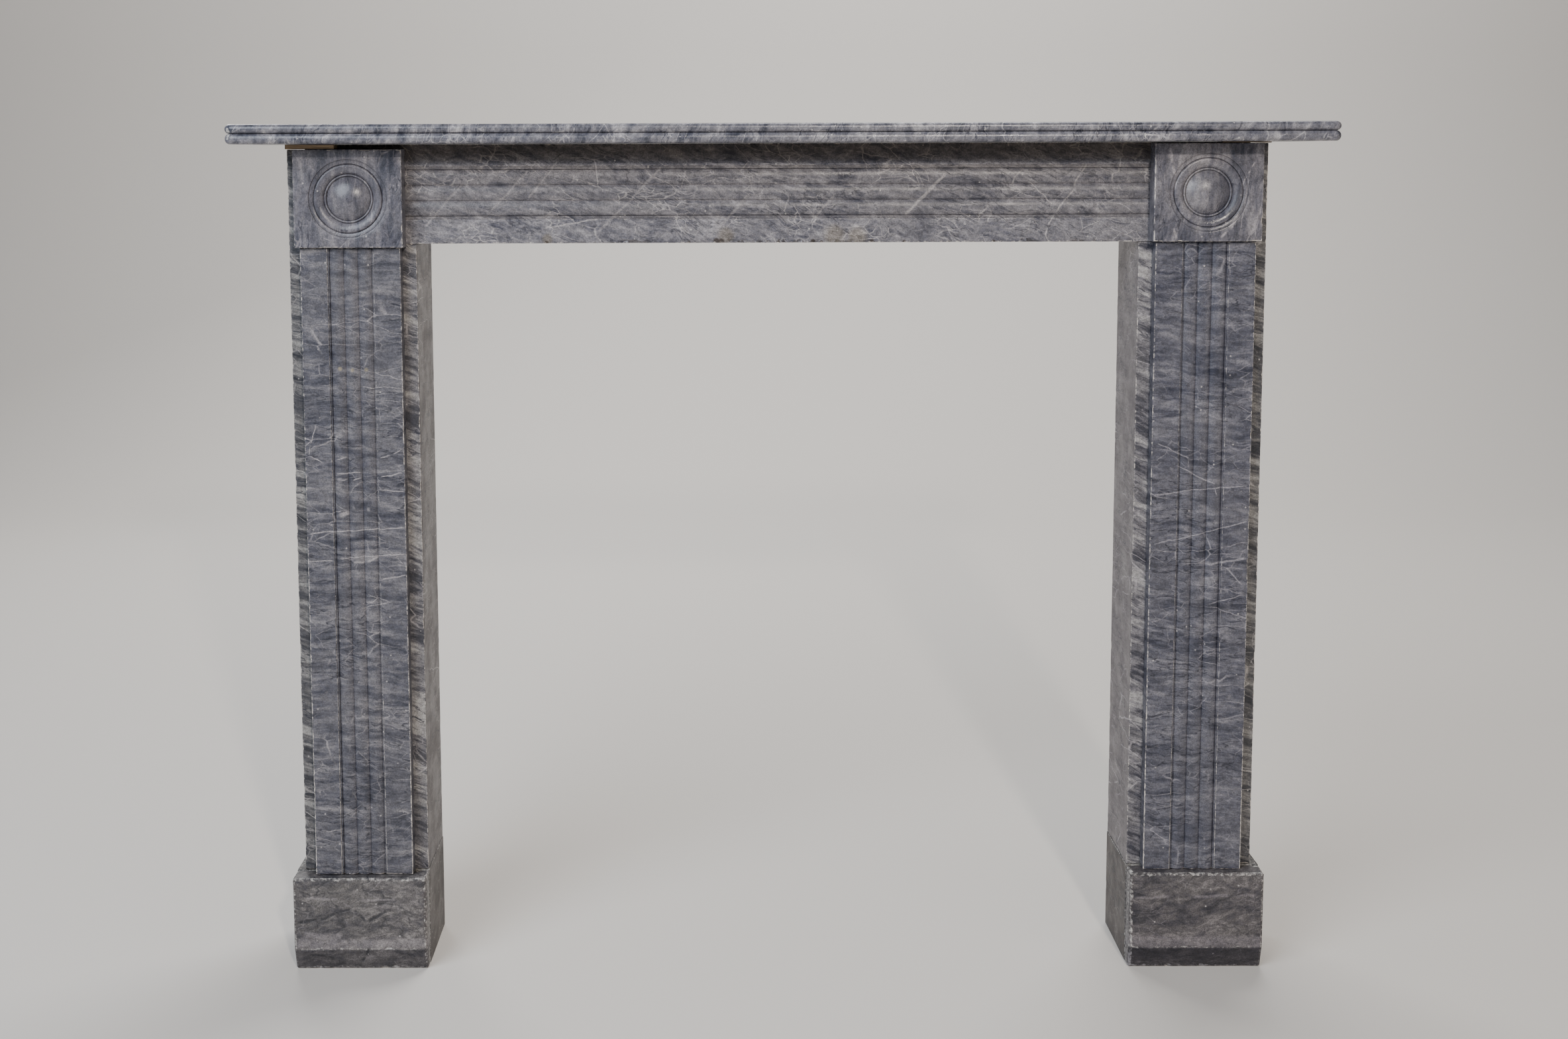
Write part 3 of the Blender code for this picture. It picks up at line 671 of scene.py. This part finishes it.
slab = {
    "radius": 0.0009, "reach": 0.0030, "step": 0.005, "chipSize": 0.009, "chipDepth": 0.0016,
    "outerLook": dict(
        panel["look"], turn=(0.0, -0.30, 0.0), bandCells=(9.0, 5.0, 60.0), streakCells=(22.0, 12.0, 170.0), bandShare=1.2, warp=0.016,
        bandTones=[(0.30, (0.022, 0.024, 0.032)), (0.44, (0.060, 0.060, 0.068)), (0.56, (0.120, 0.117, 0.120)), (0.72, (0.24, 0.235, 0.23))],
        veinCells=(9.0, 6.0, 34.0), crackleShare=0.3, driftColour=(0.10, 0.098, 0.10), driftShare=0.25, calm=0.7,
        sideColour=(0.105, 0.100, 0.096)),
    "innerLook": dict(
        panel["look"], turn=(0.0, -0.40, 0.0), bandCells=(12.0, 5.0, 74.0), streakCells=(30.0, 10.0, 190.0), bandShare=1.2, warp=0.016,
        bandTones=[(0.30, (0.034, 0.035, 0.044)), (0.43, (0.088, 0.086, 0.094)), (0.55, (0.165, 0.161, 0.163)), (0.70, (0.285, 0.278, 0.262))],
        veinCells=(9.0, 6.0, 30.0), crackleShare=0.25, driftColour=(0.17, 0.165, 0.155), driftShare=0.3, calm=0.66,
        sideColour=(0.128, 0.107, 0.099), rough=(0.38, 0.58)),
    "innerTone": {"left": (1.06, 1.04, 1.07), "right": (1.08, 1.07, 1.14)},
    "innerSide": {"left": (0.050, 0.039, 0.036), "right": (0.078, 0.065, 0.066)},
}
plinth = {
    # the sloped foot is painted darker as shade; the right foot is darker still
    "footHeight": 0.034, "footSlope": 0.010, "footShade": {"left": 1.4, "right": 2.2},
    "radius": 0.0032, "reach": 0.0080, "step": 0.003, "chipSize": 0.008, "chipDepth": 0.0028, "footWear": 0.9,
    "tone": {"left": (0.95, 0.92, 0.97), "right": (0.85, 0.81, 0.88)},
    "look": dict(
        panel["look"], turn=(0.0, 0.12, 0.0), bandCells=(9.0, 10.0, 30.0), streakCells=(46.0, 46.0, 126.0), warp=0.032, warpScale=14.0, bandShare=0.62,
        bandTones=[(0.30, (0.026, 0.027, 0.034)), (0.44, (0.062, 0.061, 0.065)), (0.55, (0.100, 0.096, 0.093)), (0.70, (0.185, 0.178, 0.166))],
        driftColour=(0.115, 0.113, 0.100), driftShare=0.35, veinShare=0.2, crackleShare=0.15, patchShare=0.12, grain=0.25, mottle=0.24,
        darkCells=(11.0, 12.0, 22.0), darkWidth=0.026, darkShare=0.7, darkColour=(0.030, 0.031, 0.035), rough=(0.42, 0.62),
        # the painted shade on the plinth foot is tinted blue-violet
        wearColour=(0.50, 0.485, 0.465), calm=0.72, sideColour=(0.034, 0.025, 0.024), paintedShadeShare=0.35, paintedShadeColour=(0.29, 0.285, 0.36), bump=1.2, veinInk=0.22),
    # pale bands, drawn like the panels' veins
    "veins": {
        "left": [
            (-0.6900, 0.1115, -0.6410, 0.1092, 0.0034), (-0.6100, 0.1080, -0.5560, 0.1100, 0.0024),
            (-0.7060, 0.0420, -0.5060, 0.0425, 0.0120), (-0.6950, 0.0560, -0.6350, 0.0500, 0.0080),
        ],
        "right": [
            (0.5100, 0.1080, 0.5640, 0.1112, 0.0026), (0.5930, 0.1094, 0.6480, 0.1120, 0.0034),
            (0.6560, 0.1122, 0.6880, 0.1110, 0.0026), (0.5000, 0.0430, 0.7020, 0.0420, 0.0130),
        ],
    },
    # dark threads
    "cracks": {
        "left": [
            (-0.7029, 0.0738, -0.6706, 0.0782, 0.0034), (-0.6706, 0.0782, -0.6440, 0.0903, 0.0034),
            (-0.6440, 0.0903, -0.6205, 0.0948, 0.0034), (-0.6205, 0.0948, -0.6118, 0.0872, 0.0034),
            (-0.6118, 0.0872, -0.6004, 0.0750, 0.0034), (-0.6004, 0.0750, -0.5707, 0.0932, 0.0034),
            (-0.5950, 0.0521, -0.5984, 0.0369, 0.0028), (-0.5984, 0.0369, -0.6046, 0.0216, 0.0030),
            (-0.6046, 0.0216, -0.6135, 0.0125, 0.0030), (-0.6866, 0.0264, -0.6603, 0.0218, 0.0030),
            (-0.6603, 0.0218, -0.6487, 0.0156, 0.0030),
        ],
        "right": [],
    },
}


def makeSlab(nodeName, pieceName, look, seed, shape=slab, along=2):
    low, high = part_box(nodeName)
    across = [axis for axis in range(3) if axis != along]
    (x0, y0), (x1, y1) = [low[k] for k in across], [high[k] for k in across]
    section = cornerSection([(x0, y0), (x1, y0), (x1, y1), (x0, y1)], shape["radius"], shape["reach"])
    stone = marble(pieceName + "_stone", dict(look, shift=(0.41 * seed, 0.13 * seed, 0.77 * seed)))
    piece = sweepSlab(pieceName, section, along, (low[along], high[along]), shape, stone, seed)
    dress(piece, nodeName)


for number, side in enumerate(("left", "right")):
    makeSlab(side + "_outer_return", side + "_outer_slab", slab["outerLook"], 31 + number)
    makeSlab(side + "_inner_return", side + "_inner_slab", dict(slab["innerLook"], tone=slab["innerTone"][side], sideColour=slab["innerSide"][side]), 41 + number)
    makeSlab(side + "_plinth_inner_side", side + "_plinth_inner_slab", plinth["look"], 51 + number)
    makeSlab(side + "_plinth_outer_side", side + "_plinth_outer_slab", plinth["look"], 61 + number)
print("returns and plinth sides made")

# plinth fronts



def makePlinthFront(side, number):
    low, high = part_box(side + "_plinth_front")
    corners = [
        (low[1] + plinth["footSlope"], low[2]),
        (low[1], low[2] + plinth["footHeight"]),
        (low[1], high[2]),
        (high[1], high[2]),
        (high[1], low[2]),
    ]
    section = Section()
    # the whole sloped foot, from its bottom corner to its top, carries painted shade
    footShade = plinth["footShade"][side]
    for k in range(5):
        paintedShade = footShade if k == 1 else 0.0
        wear, size = (plinth["footWear"], 0.5) if k == 1 else (1.0, 1.0)
        radius, reach = plinth["radius"] * size, plinth["reach"] * size
        shadeAfter = footShade if k == 0 else 0.0
        section.worn(corners[k - 1], corners[k], corners[(k + 1) % 5], radius, reach, paintedShade, wear, shadeAfter)
    stone = marble(side + "_plinth_stone", dict(plinth["look"], shift=(0.9 * number, 0.4, 0.27 * number + 0.11),
                                              tone=plinth["tone"][side], veins=plinth["veins"][side], cracks=plinth["cracks"][side]))
    piece = sweepSlab(side + "_plinth_slab", section, 0, (low[0], high[0]), plinth, stone, 71 + number)
    dress(piece, side + "_plinth_front")


for number, side in enumerate(("left", "right")):
    makePlinthFront(side, number)
print("plinth fronts made")

# frieze

frieze = {
    # quirks and fillets get painted shade, and the reeds a little too, for the shelf's shadow falling on them
    "band": 0.0386, "reeds": 3, "reedWidth": 0.0220, "reedRise": 0.0031, "quirkWidth": 0.0013, "quirkDepth": 0.0008, "quirkShade": 0.7, "reedWear": 0.15, "reedShade": 0.2,
    "fillet": 0.0046, "filletSink": 0.0012, "filletShade": (0.4, 0.5), "reedSteps": 16,
    "radius": 0.0009, "reach": 0.0055, "step": 0.0018, "chipSize": 0.0055, "chipDepth": 0.0055,
    # chips on the lower edge go dark with painted shade instead of pale
    "chipFrom": -0.30, "chipTo": 0.42, "chipRange": (0.50, 0.62), "chipPale": -0.8, "chipShade": 1.0,
    # painted shadow of the shelf on the upper band and its top corner
    "upperShadow": ((0.1140, 0.35), (0.1180, 0.85), (0.1290, 1.0)), "upperEdgeShadow": 1.0,
    "look": dict(
        panel["look"], turn=(0.0, -0.28, 0.0), warpScale=14.0, warp=0.034, bandCells=(17.0, 17.0, 50.0), streakCells=(38.0, 38.0, 140.0), bandShare=0.42,
        bandTones=[(0.30, (0.042, 0.045, 0.062)), (0.43, (0.100, 0.101, 0.117)), (0.55, (0.160, 0.158, 0.170)), (0.70, (0.255, 0.251, 0.260))],
        driftColour=(0.165, 0.161, 0.165), veinCells=(16.0, 16.0, 44.0), veinWidth=0.022, veinShare=0.45, veinColour=(0.50, 0.48, 0.46),
        crackleCells=(46.0, 46.0, 104.0), crackleWidth=0.05, crackleShare=0.5, darkCells=(20.0, 20.0, 70.0), darkWidth=0.026, darkShare=0.75,
        # the painted shade here is brown and strong: the shelf's painted shadow and the shade in grooves
        darkColour=(0.038, 0.040, 0.052), patchShare=0.4, rough=(0.30, 0.48), tone=(1.05, 1.03, 1.06), veinInk=0.42, gloss=0.36, paintedShadeShare=0.75,
        paintedShadeColour=(0.32, 0.26, 0.19)),
    "veins": [
        (0.2341, 1.1544, 0.1740, 1.0940, 0.0032), (0.4314, 1.1658, 0.4205, 1.1519, 0.0017),
        (0.4205, 1.1519, 0.4134, 1.1305, 0.0017), (0.4134, 1.1305, 0.3859, 1.0962, 0.0017),
        (0.3859, 1.0962, 0.3750, 1.0775, 0.0017), (0.3750, 1.0775, 0.3725, 1.0607, 0.0017),
        (0.3479, 1.1429, 0.3839, 1.1074, 0.0013), (-0.3356, 1.0770, -0.2559, 1.0908, 0.0016),
    ],
    "faintVeins": [
        (-0.0937, 1.0702, -0.0450, 1.1251, 0.0030), (-0.2586, 1.0708, -0.1661, 1.1641, 0.0024),
        (-0.3580, 1.1180, -0.3115, 1.1743, 0.0022), (-0.4101, 1.0997, -0.3550, 1.1610, 0.0022),
        (-0.5040, 1.0776, -0.4467, 1.1427, 0.0022), (0.0478, 1.0898, 0.0776, 1.1270, 0.0020),
    ],
    # nicks on the lower edge, painted dark as the shade inside each chip: middle on the face (x, z), then radius
    "nicks": [
        (-0.3312, 1.0570, 0.0042), (-0.1299, 1.0568, 0.0034), (-0.0910, 1.0586, 0.0062), (-0.0840, 1.0578, 0.0060), (-0.0036, 1.0566, 0.0034),
        (0.0451, 1.0576, 0.0050), (0.0573, 1.0568, 0.0036), (0.1284, 1.0574, 0.0044), (0.1742, 1.0568, 0.0038), (0.3005, 1.0570, 0.0040),
    ],
    # brown stains over them
    "stains": [(-0.0776, 1.0665, 0.016), (0.0757, 1.0660, 0.020), (0.1080, 1.0650, 0.018), (-0.3300, 1.0620, 0.010)],
}


def makeFrieze():
    low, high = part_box("frieze")
    height, thickness = high[2] - low[2], high[1] - low[1]
    first = frieze["band"]
    last = first + frieze["reeds"] * frieze["reedWidth"]
    section = reededSlab(low, high, first, last, frieze,
                         lambda place, sink: (low[1] + sink, low[2] + place), height, thickness)

    def lowerEdge(points):
        # chips gather on the lower edge, right of the middle
        under = smooth(0.012, 0.004, points[:, 2] - low[2])
        along = smooth(frieze["chipFrom"], frieze["chipFrom"] + 0.1, points[:, 0])
        along = along * smooth(frieze["chipTo"] + 0.1, frieze["chipTo"], points[:, 0])
        return 0.25 + 0.75 * under * along

    stone = marble("frieze_stone", dict(frieze["look"], veins=frieze["veins"], faintVeins=frieze["faintVeins"], spots=frieze["nicks"], spotColour=(0.030, 0.022, 0.018),
                                         stains=frieze["stains"], stainColour=(0.165, 0.140, 0.092)))
    wearing = dict(frieze, chipPlace=lowerEdge)
    piece = sweepSlab("reeded_frieze", section, 0, (low[0], high[0]), wearing, stone, 81)
    dress(piece, "frieze")


makeFrieze()
print("frieze made")

# corner blocks

block = {
    "rounds": 240, "margin": 0.0135, "rimStep": 0.0012, "bandWidth": 0.0068, "bandSink": 0.0036, "shoulder": 0.0030, "crestSink": 0.0008,
    "fall": 0.0107, "floorSink": 0.0085, "ringWidth": 0.0034, "ringRise": 0.0026, "domeHeight": 0.0112,
    "radius": 0.0010, "reach": 0.0032, "chipSize": 0.009, "chipDepth": 0.0015,
    "look": dict(
        panel["look"], turn=(0.0, 1.45, 0.0), bandCells=(9.0, 10.0, 40.0), streakCells=(22.0, 24.0, 110.0), warp=0.034, bandShare=0.8,
        bandTones=[(0.30, (0.040, 0.045, 0.062)), (0.44, (0.088, 0.090, 0.109)), (0.55, (0.138, 0.137, 0.153)), (0.70, (0.225, 0.219, 0.226))],
        # strong painted shade in the roundel's rings
        veinCells=(8.0, 10.0, 30.0), veinShare=0.35, crackleShare=0.12, rough=(0.25, 0.42), paintedShadeShare=0.85, tone=(0.97, 0.95, 0.99), veinInk=0.42),
    "veins": {
        "left": [
            (-0.6960, 1.1500, -0.6985, 1.1230, 0.0012), (-0.6985, 1.1230, -0.6940, 1.0980, 0.0014), (-0.6850, 1.1560, -0.6900, 1.1180, 0.0016),
            (-0.6900, 1.1180, -0.6860, 1.0900, 0.0012), (-0.6860, 1.0900, -0.6990, 1.0740, 0.0010), (-0.5700, 1.1150, -0.5740, 1.0840, 0.0009),
            (-0.6420, 1.0680, -0.6300, 1.0610, 0.0011), (-0.5930, 1.0660, -0.5800, 1.0740, 0.0009),
        ],
        "right": [
            (0.5392, 1.1885, 0.5440, 1.1650, 0.0026), (0.5440, 1.1650, 0.5490, 1.1450, 0.0032), (0.5490, 1.1450, 0.5470, 1.1260, 0.0016),
            (0.5478, 1.0790, 0.5525, 1.0583, 0.0026), (0.6590, 1.1690, 0.6530, 1.1580, 0.0013), (0.6530, 1.1580, 0.6480, 1.1490, 0.0018),
            (0.6390, 1.0960, 0.6227, 1.0731, 0.0034), (0.6227, 1.0731, 0.6123, 1.0600, 0.0020), (0.6480, 1.1490, 0.6420, 1.1330, 0.0012),
        ],
    },
}


def turnedProfile(rim):
    # radius and sink from the rim inwards: hollow band, roll (steep outside, rounded inside), half-round ring, dome;
    # the rim step, the quirk, the ring and the dome's foot carry painted shade, and the whole dome a little
    shape = block
    quarter = np.linspace(0, 1, 9)[1:] * math.pi / 2
    half = np.linspace(0, 1, 11)[1:-1] * math.pi
    fallTurn = np.linspace(0, 1, 15)[1:] * math.pi / 2
    quirk = rim - shape["bandWidth"]
    crest = quirk - shape["shoulder"]
    ring = crest - shape["fall"]
    base = ring - shape["ringWidth"]
    rise = shape["bandSink"] - shape["crestSink"]
    drop = shape["floorSink"] - shape["crestSink"]
    sphere = (base ** 2 + shape["domeHeight"] ** 2) / (2 * shape["domeHeight"])
    edge = math.asin(base / sphere)
    tilt = edge * (1 - np.linspace(0, 1, 33)[1:-1])
    radius = np.concatenate([
        [rim + 0.0006, rim, rim - 0.0002, rim - 0.0003],
        rim - shape["bandWidth"] * np.sin(quarter),
        quirk - shape["shoulder"] * (1 - np.cos(quarter)),
        crest - shape["fall"] * np.sin(fallTurn),
        ring - shape["ringWidth"] * (1 - np.cos(half)) / 2,
        [base + 0.0003, base],
        sphere * np.sin(tilt),
    ])
    sink = np.concatenate([
        [0.0, 0.0002, 0.0006, shape["rimStep"]],
        shape["rimStep"] + (shape["bandSink"] - shape["rimStep"]) * (1 - np.cos(quarter)),
        shape["bandSink"] - rise * np.sin(quarter),
        shape["crestSink"] + drop * (1 - np.cos(fallTurn)),
        shape["floorSink"] - shape["ringRise"] * np.sin(half),
        [shape["floorSink"], shape["floorSink"]],
        shape["floorSink"] - sphere * (np.cos(tilt) - math.cos(edge)),
    ])
    groove = np.concatenate([
        [0, 0.1, 0.5, 0.6], smooth(0.6, 0.0, np.sin(quarter)) * 0.4 + smooth(0.85, 1.0, np.sin(quarter)) * 0.8,
        smooth(0.7, 0.1, np.sin(quarter)), smooth(0.97, 1.0, np.sin(fallTurn)) * 0.7,
        smooth(0.6, 0.0, np.sin(half)) * 0.8, [0.9, 0.9], 0.14 + smooth(0.93, 1.0, tilt / edge) * 0.4,
    ])
    wear = np.concatenate([[0.1, 0.35, 0, 0], quarter * 0, quarter * 0, fallTurn * 0, smooth(0.7, 1.0, np.sin(half)) * 0.3, [0, 0], tilt * 0])
    return radius, sink, groove, wear


def makeBlock(side, number):
    # rows of points from the back, round the square edge, over the face and up the dome
    low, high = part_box(side + "_corner_block")
    shape = block
    centre = (np.array(low) + np.array(high)) / 2
    halfX, halfZ = (high[0] - low[0]) / 2, (high[2] - low[2]) / 2
    rim = min(halfX, halfZ) - shape["margin"]
    face = low[1] + shape["domeHeight"] - shape["floorSink"]
    back = high[1]
    angle = np.arange(shape["rounds"]) * 2 * math.pi / shape["rounds"]
    across, up = np.cos(angle), np.sin(angle)
    reachOut = np.maximum(np.abs(across), np.abs(up))
    r, reach = shape["radius"], shape["reach"]
    turn = np.array([0, 30, 60, 90]) * math.pi / 180

    squareInset = np.concatenate([[reach, r], r * (1 - np.sin(turn))[1:], [0, 0, 0], (r * (1 - np.sin(turn)))[::-1][1:], [reach * 0.6, reach]])
    squareSink = np.concatenate([[0, 0], -(r * (1 - np.cos(turn)))[1:]]) + (back - face)
    squareSink = np.concatenate([squareSink, [back - face - reach, reach, reach * 0.6], (r * (1 - np.cos(turn)))[::-1][1:], [0, 0]])
    squareWear = np.concatenate([[0, 1], [1, 1, 1], [0, 0, 0.3], [1, 1, 1], [0.3, 0]])
    rows, wears, grooves = [], [], []
    for inset, sink, wear in zip(squareInset, squareSink, squareWear):
        rows.append(np.stack([(halfX - inset) * across / reachOut, np.full_like(angle, sink), (halfZ - inset) * up / reachOut], -1))
        wears.append(wear)
        grooves.append(0.0)
    radius, sink, groove, wear = turnedProfile(rim)
    square = rows[-1]
    circle = np.stack([radius[0] * across, angle * 0, radius[0] * up], -1)
    for share in (0.25, 0.5, 0.75):
        rows.append(square * (1 - share) + circle * share)
        wears.append(0.0)
        grooves.append(0.0)
    for k in range(len(radius)):
        rows.append(np.stack([radius[k] * across, np.full_like(angle, sink[k]), radius[k] * up], -1))
        wears.append(wear[k])
        grooves.append(groove[k])
    points = np.stack(rows)
    crown = np.array([[0.0, shape["floorSink"] - shape["domeHeight"], 0.0]])
    count, columns = points.shape[:2]
    points = np.concatenate([points.reshape(-1, 3), crown])
    points += np.array([centre[0], face, centre[2]])
    worn = np.concatenate([np.repeat(np.array(wears, float), columns), [0]])
    squareRows = len(squareInset)
    onEdge = np.concatenate([np.repeat((np.arange(count) < squareRows).astype(float), columns), [0]])
    fine = stoneNoise(points, shape["chipSize"], 90 + number) * smooth(0.3, 0.75, stoneNoise(points, 0.05, 92 + number))
    chip = smooth(0.4, 0.7, fine)
    depth = worn * onEdge * (chip * shape["chipDepth"] + 0.2 * r * stoneNoise(points, 0.015, 94 + number))
    aim = points - np.array([centre[0], (face + back) / 2, centre[2]])
    aim = aim / np.array([halfX, (back - face) / 2, halfZ])
    aim = np.where(np.abs(aim) > 0.9, np.sign(aim), 0.0)
    aim /= np.maximum(np.linalg.norm(aim, axis=1), 1e-6)[:, None]
    points = points - aim * depth[:, None]
    last = (count - 1) * columns + np.arange(columns)
    tip = np.full(columns, count * columns)
    quads = np.concatenate([gridQuads(count, columns), np.stack([last, np.roll(last, -1), tip, tip], -1)])
    # the groove mark carries the roundel's painted shade
    marks = {
        "wear": np.clip(worn * (0.6 + 0.6 * chip), 0, 1),
        "groove": np.concatenate([np.repeat(np.array(grooves, float), columns), [0.14]]),
    }
    stone = marble(side + "_block_stone", dict(block["look"], shift=(0.83 * number + 0.2, 0.4, 0.57 * number), veins=block["veins"][side]))
    piece = makeMesh(side + "_roundel_block", points, quads, [list(range(columns))], marks, stone)
    dress(piece, side + "_corner_block")


# shelf

shelf = {
    "topReed": 0.0126, "lowerReed": 0.0143, "reedDepth": 0.0062, "cornerRadius": 0.012,
    "reedSteps": 22, "cornerSteps": 12, "step": 0.005, "wave": 0.00018, "chipSize": 0.010, "chipDepth": 0.0009,
    "look": dict(
        panel["look"], turn=(0.0, 1.30, 0.0), bandCells=(20.0, 20.0, 32.0), streakCells=(46.0, 48.0, 76.0), warp=0.040, bandShare=0.85,
        bandTones=[(0.30, (0.045, 0.050, 0.067)), (0.43, (0.108, 0.111, 0.132)), (0.55, (0.178, 0.178, 0.194)), (0.70, (0.33, 0.325, 0.332))],
        driftColour=(0.20, 0.196, 0.205), veinCells=(12.0, 12.0, 30.0), veinShare=0.5, veinColour=(0.52, 0.51, 0.50), rough=(0.21, 0.39),
        # the painted shade in the quirk is strong
        crackleCells=(40.0, 40.0, 84.0), crackleShare=0.5, darkColour=(0.040, 0.043, 0.060), wearColour=(0.5, 0.49, 0.47), paintedShadeShare=0.75,
        tone=(0.96, 0.945, 0.985)),
}


def makeShelf():
    # levels of a plan outline, drawn in by reedDepth * (1 - sin) over each half-round reed
    low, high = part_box("mantel_shelf")
    shape = shelf
    r = shape["cornerRadius"]
    half = (high[0] - low[0]) / 2
    endRun = np.linspace(high[1], low[1] + r, int((high[1] - low[1]) / shape["step"] / 1.6))
    frontRun = np.linspace(half - r, -half + r, int(2 * half / shape["step"]))[1:-1]
    turn = np.linspace(0, math.pi / 2, shape["cornerSteps"] + 1)[1:]
    right = np.stack([endRun * 0 + half, endRun], -1)
    bendRight = np.stack([half - r + r * np.cos(turn), low[1] + r - r * np.sin(turn)], -1)
    front = np.stack([frontRun, frontRun * 0 + low[1]], -1)
    bendLeft = (bendRight * (-1, 1))[::-1]
    left = (right * (-1, 1))[::-1]
    plan = np.concatenate([right, bendRight, front, bendLeft, left])
    outward = np.concatenate([
        right * 0 + (1, 0), np.stack([np.cos(turn), -np.sin(turn)], -1), front * 0 + (0, -1),
        (np.stack([np.cos(turn), -np.sin(turn)], -1) * (-1, 1))[::-1], left * 0 + (-1, 0)])
    levels, insets, grooves, wears = [low[2]], [shape["reedDepth"] + 0.002], [0.0], [0.0]
    level = low[2]
    for height in (shape["lowerReed"], shape["topReed"]):
        height = height * (high[2] - low[2]) / (shape["lowerReed"] + shape["topReed"])
        for t in np.linspace(0, math.pi, shape["reedSteps"] + 1):
            if t == 0 and level > low[2]:
                continue
            levels.append(level + height * (1 - math.cos(t)) / 2)
            insets.append(shape["reedDepth"] * (1 - math.sin(t)))
            # the quirk between the two reeds carries painted shade
            inQuirk = (t > math.pi * 0.9 and level == low[2]) or (t < math.pi * 0.1 and level > low[2])
            grooves.append(1.0 if inQuirk else 0.0)
            wears.append(0.0)
        level += height
    levels.append(high[2])
    insets.append(shape["reedDepth"] + 0.002)
    grooves.append(0.0)
    wears.append(0.0)
    rows, columns = len(levels), len(plan)
    points = np.zeros((rows, columns, 3))
    flat = plan[None] - outward[None] * np.array(insets)[:, None, None]
    points[..., :2] = flat
    points[..., 2] = np.array(levels)[:, None]
    points = points.reshape(-1, 3)
    facing = np.tile(np.concatenate([outward, outward[:, :1] * 0], -1), (rows, 1))
    inEdge = np.repeat((np.array(insets) < shape["reedDepth"] * 0.95).astype(float), columns)
    wave = stoneNoise(points, 0.06, 101) * shape["wave"]
    chip = smooth(0.72, 0.9, stoneNoise(points, shape["chipSize"], 102)) * smooth(0.5, 0.8, stoneNoise(points, 0.07, 103))
    points = points - facing * (inEdge * (wave + chip * shape["chipDepth"]))[:, None]
    marks = {"wear": inEdge * chip, "groove": np.repeat(np.array(grooves), columns)}
    stone = marble("shelf_stone", shelf["look"])
    caps = [list(range(columns)), list(range((rows - 1) * columns, rows * columns))[::-1]]
    piece = makeMesh("reeded_shelf", points, gridQuads(rows, columns), caps, marks, stone)
    dress(piece, "mantel_shelf")


for number, side in enumerate(("left", "right")):
    makeBlock(side, number)
print("corner blocks made")
makeShelf()
print("shelf made")

# packing wood

packing = {
    "radius": 0.0004, "reach": 0.0008, "step": 0.003, "chipSize": 0.004, "chipDepth": 0.0003, "taper": 0.0008,
    "wood": {"dark": (0.12, 0.078, 0.045), "pale": (0.44, 0.33, 0.21), "grain": (16.0, 200.0, 700.0)},
}


def packingWood():
    material = bpy.data.materials.new("packing_pine")
    material.use_nodes = True
    tree = material.node_tree
    shader = tree.nodes["Principled BSDF"]
    coords = node(tree, "ShaderNodeTexCoord").outputs["Object"]
    grain, _ = cloud(tree, scaledPlace(tree, coords, packing["wood"]["grain"]), 1.0, 5.0, 0.6, 0.4)
    colour = tones(tree, grain, [(0.3, packing["wood"]["dark"]), (0.7, packing["wood"]["pale"])])
    tree.links.new(colour, shader.inputs["Base Color"])
    shader.inputs["Roughness"].default_value = 0.82
    bump = node(tree, "ShaderNodeBump")
    feed(tree, bump, {"Height": grain, "Strength": 0.6, "Distance": 0.0008})
    tree.links.new(bump.outputs[0], shader.inputs["Normal"])
    return material


def makePacking(nodeName, pieceName, outerIsLeft, wood, seed):
    low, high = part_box(nodeName)
    thinned = min(packing["taper"], (high[2] - low[2]) / 2)
    outer, inner = (low[0], high[0]) if outerIsLeft else (high[0], low[0])
    corners = [(outer, low[2]), (outer, high[2]), (inner, high[2]), (inner, low[2] + thinned)]
    radius = min(packing["radius"], (high[2] - low[2]) / 6)
    shape = dict(packing, radius=radius, reach=radius * 1.8)
    section = Section()
    for k in range(4):
        section.worn(corners[k - 1], corners[k], corners[(k + 1) % 4], shape["radius"], shape["reach"])
    piece = sweepSlab(pieceName, section, 1, (low[1], high[1]), shape, wood, seed)
    dress(piece, nodeName)


pine = packingWood()
makePacking("left_packing_wedge", "left_wedge", True, pine, 111)
makePacking("right_packing_strip", "right_strip", False, pine, 112)
print("packing made")
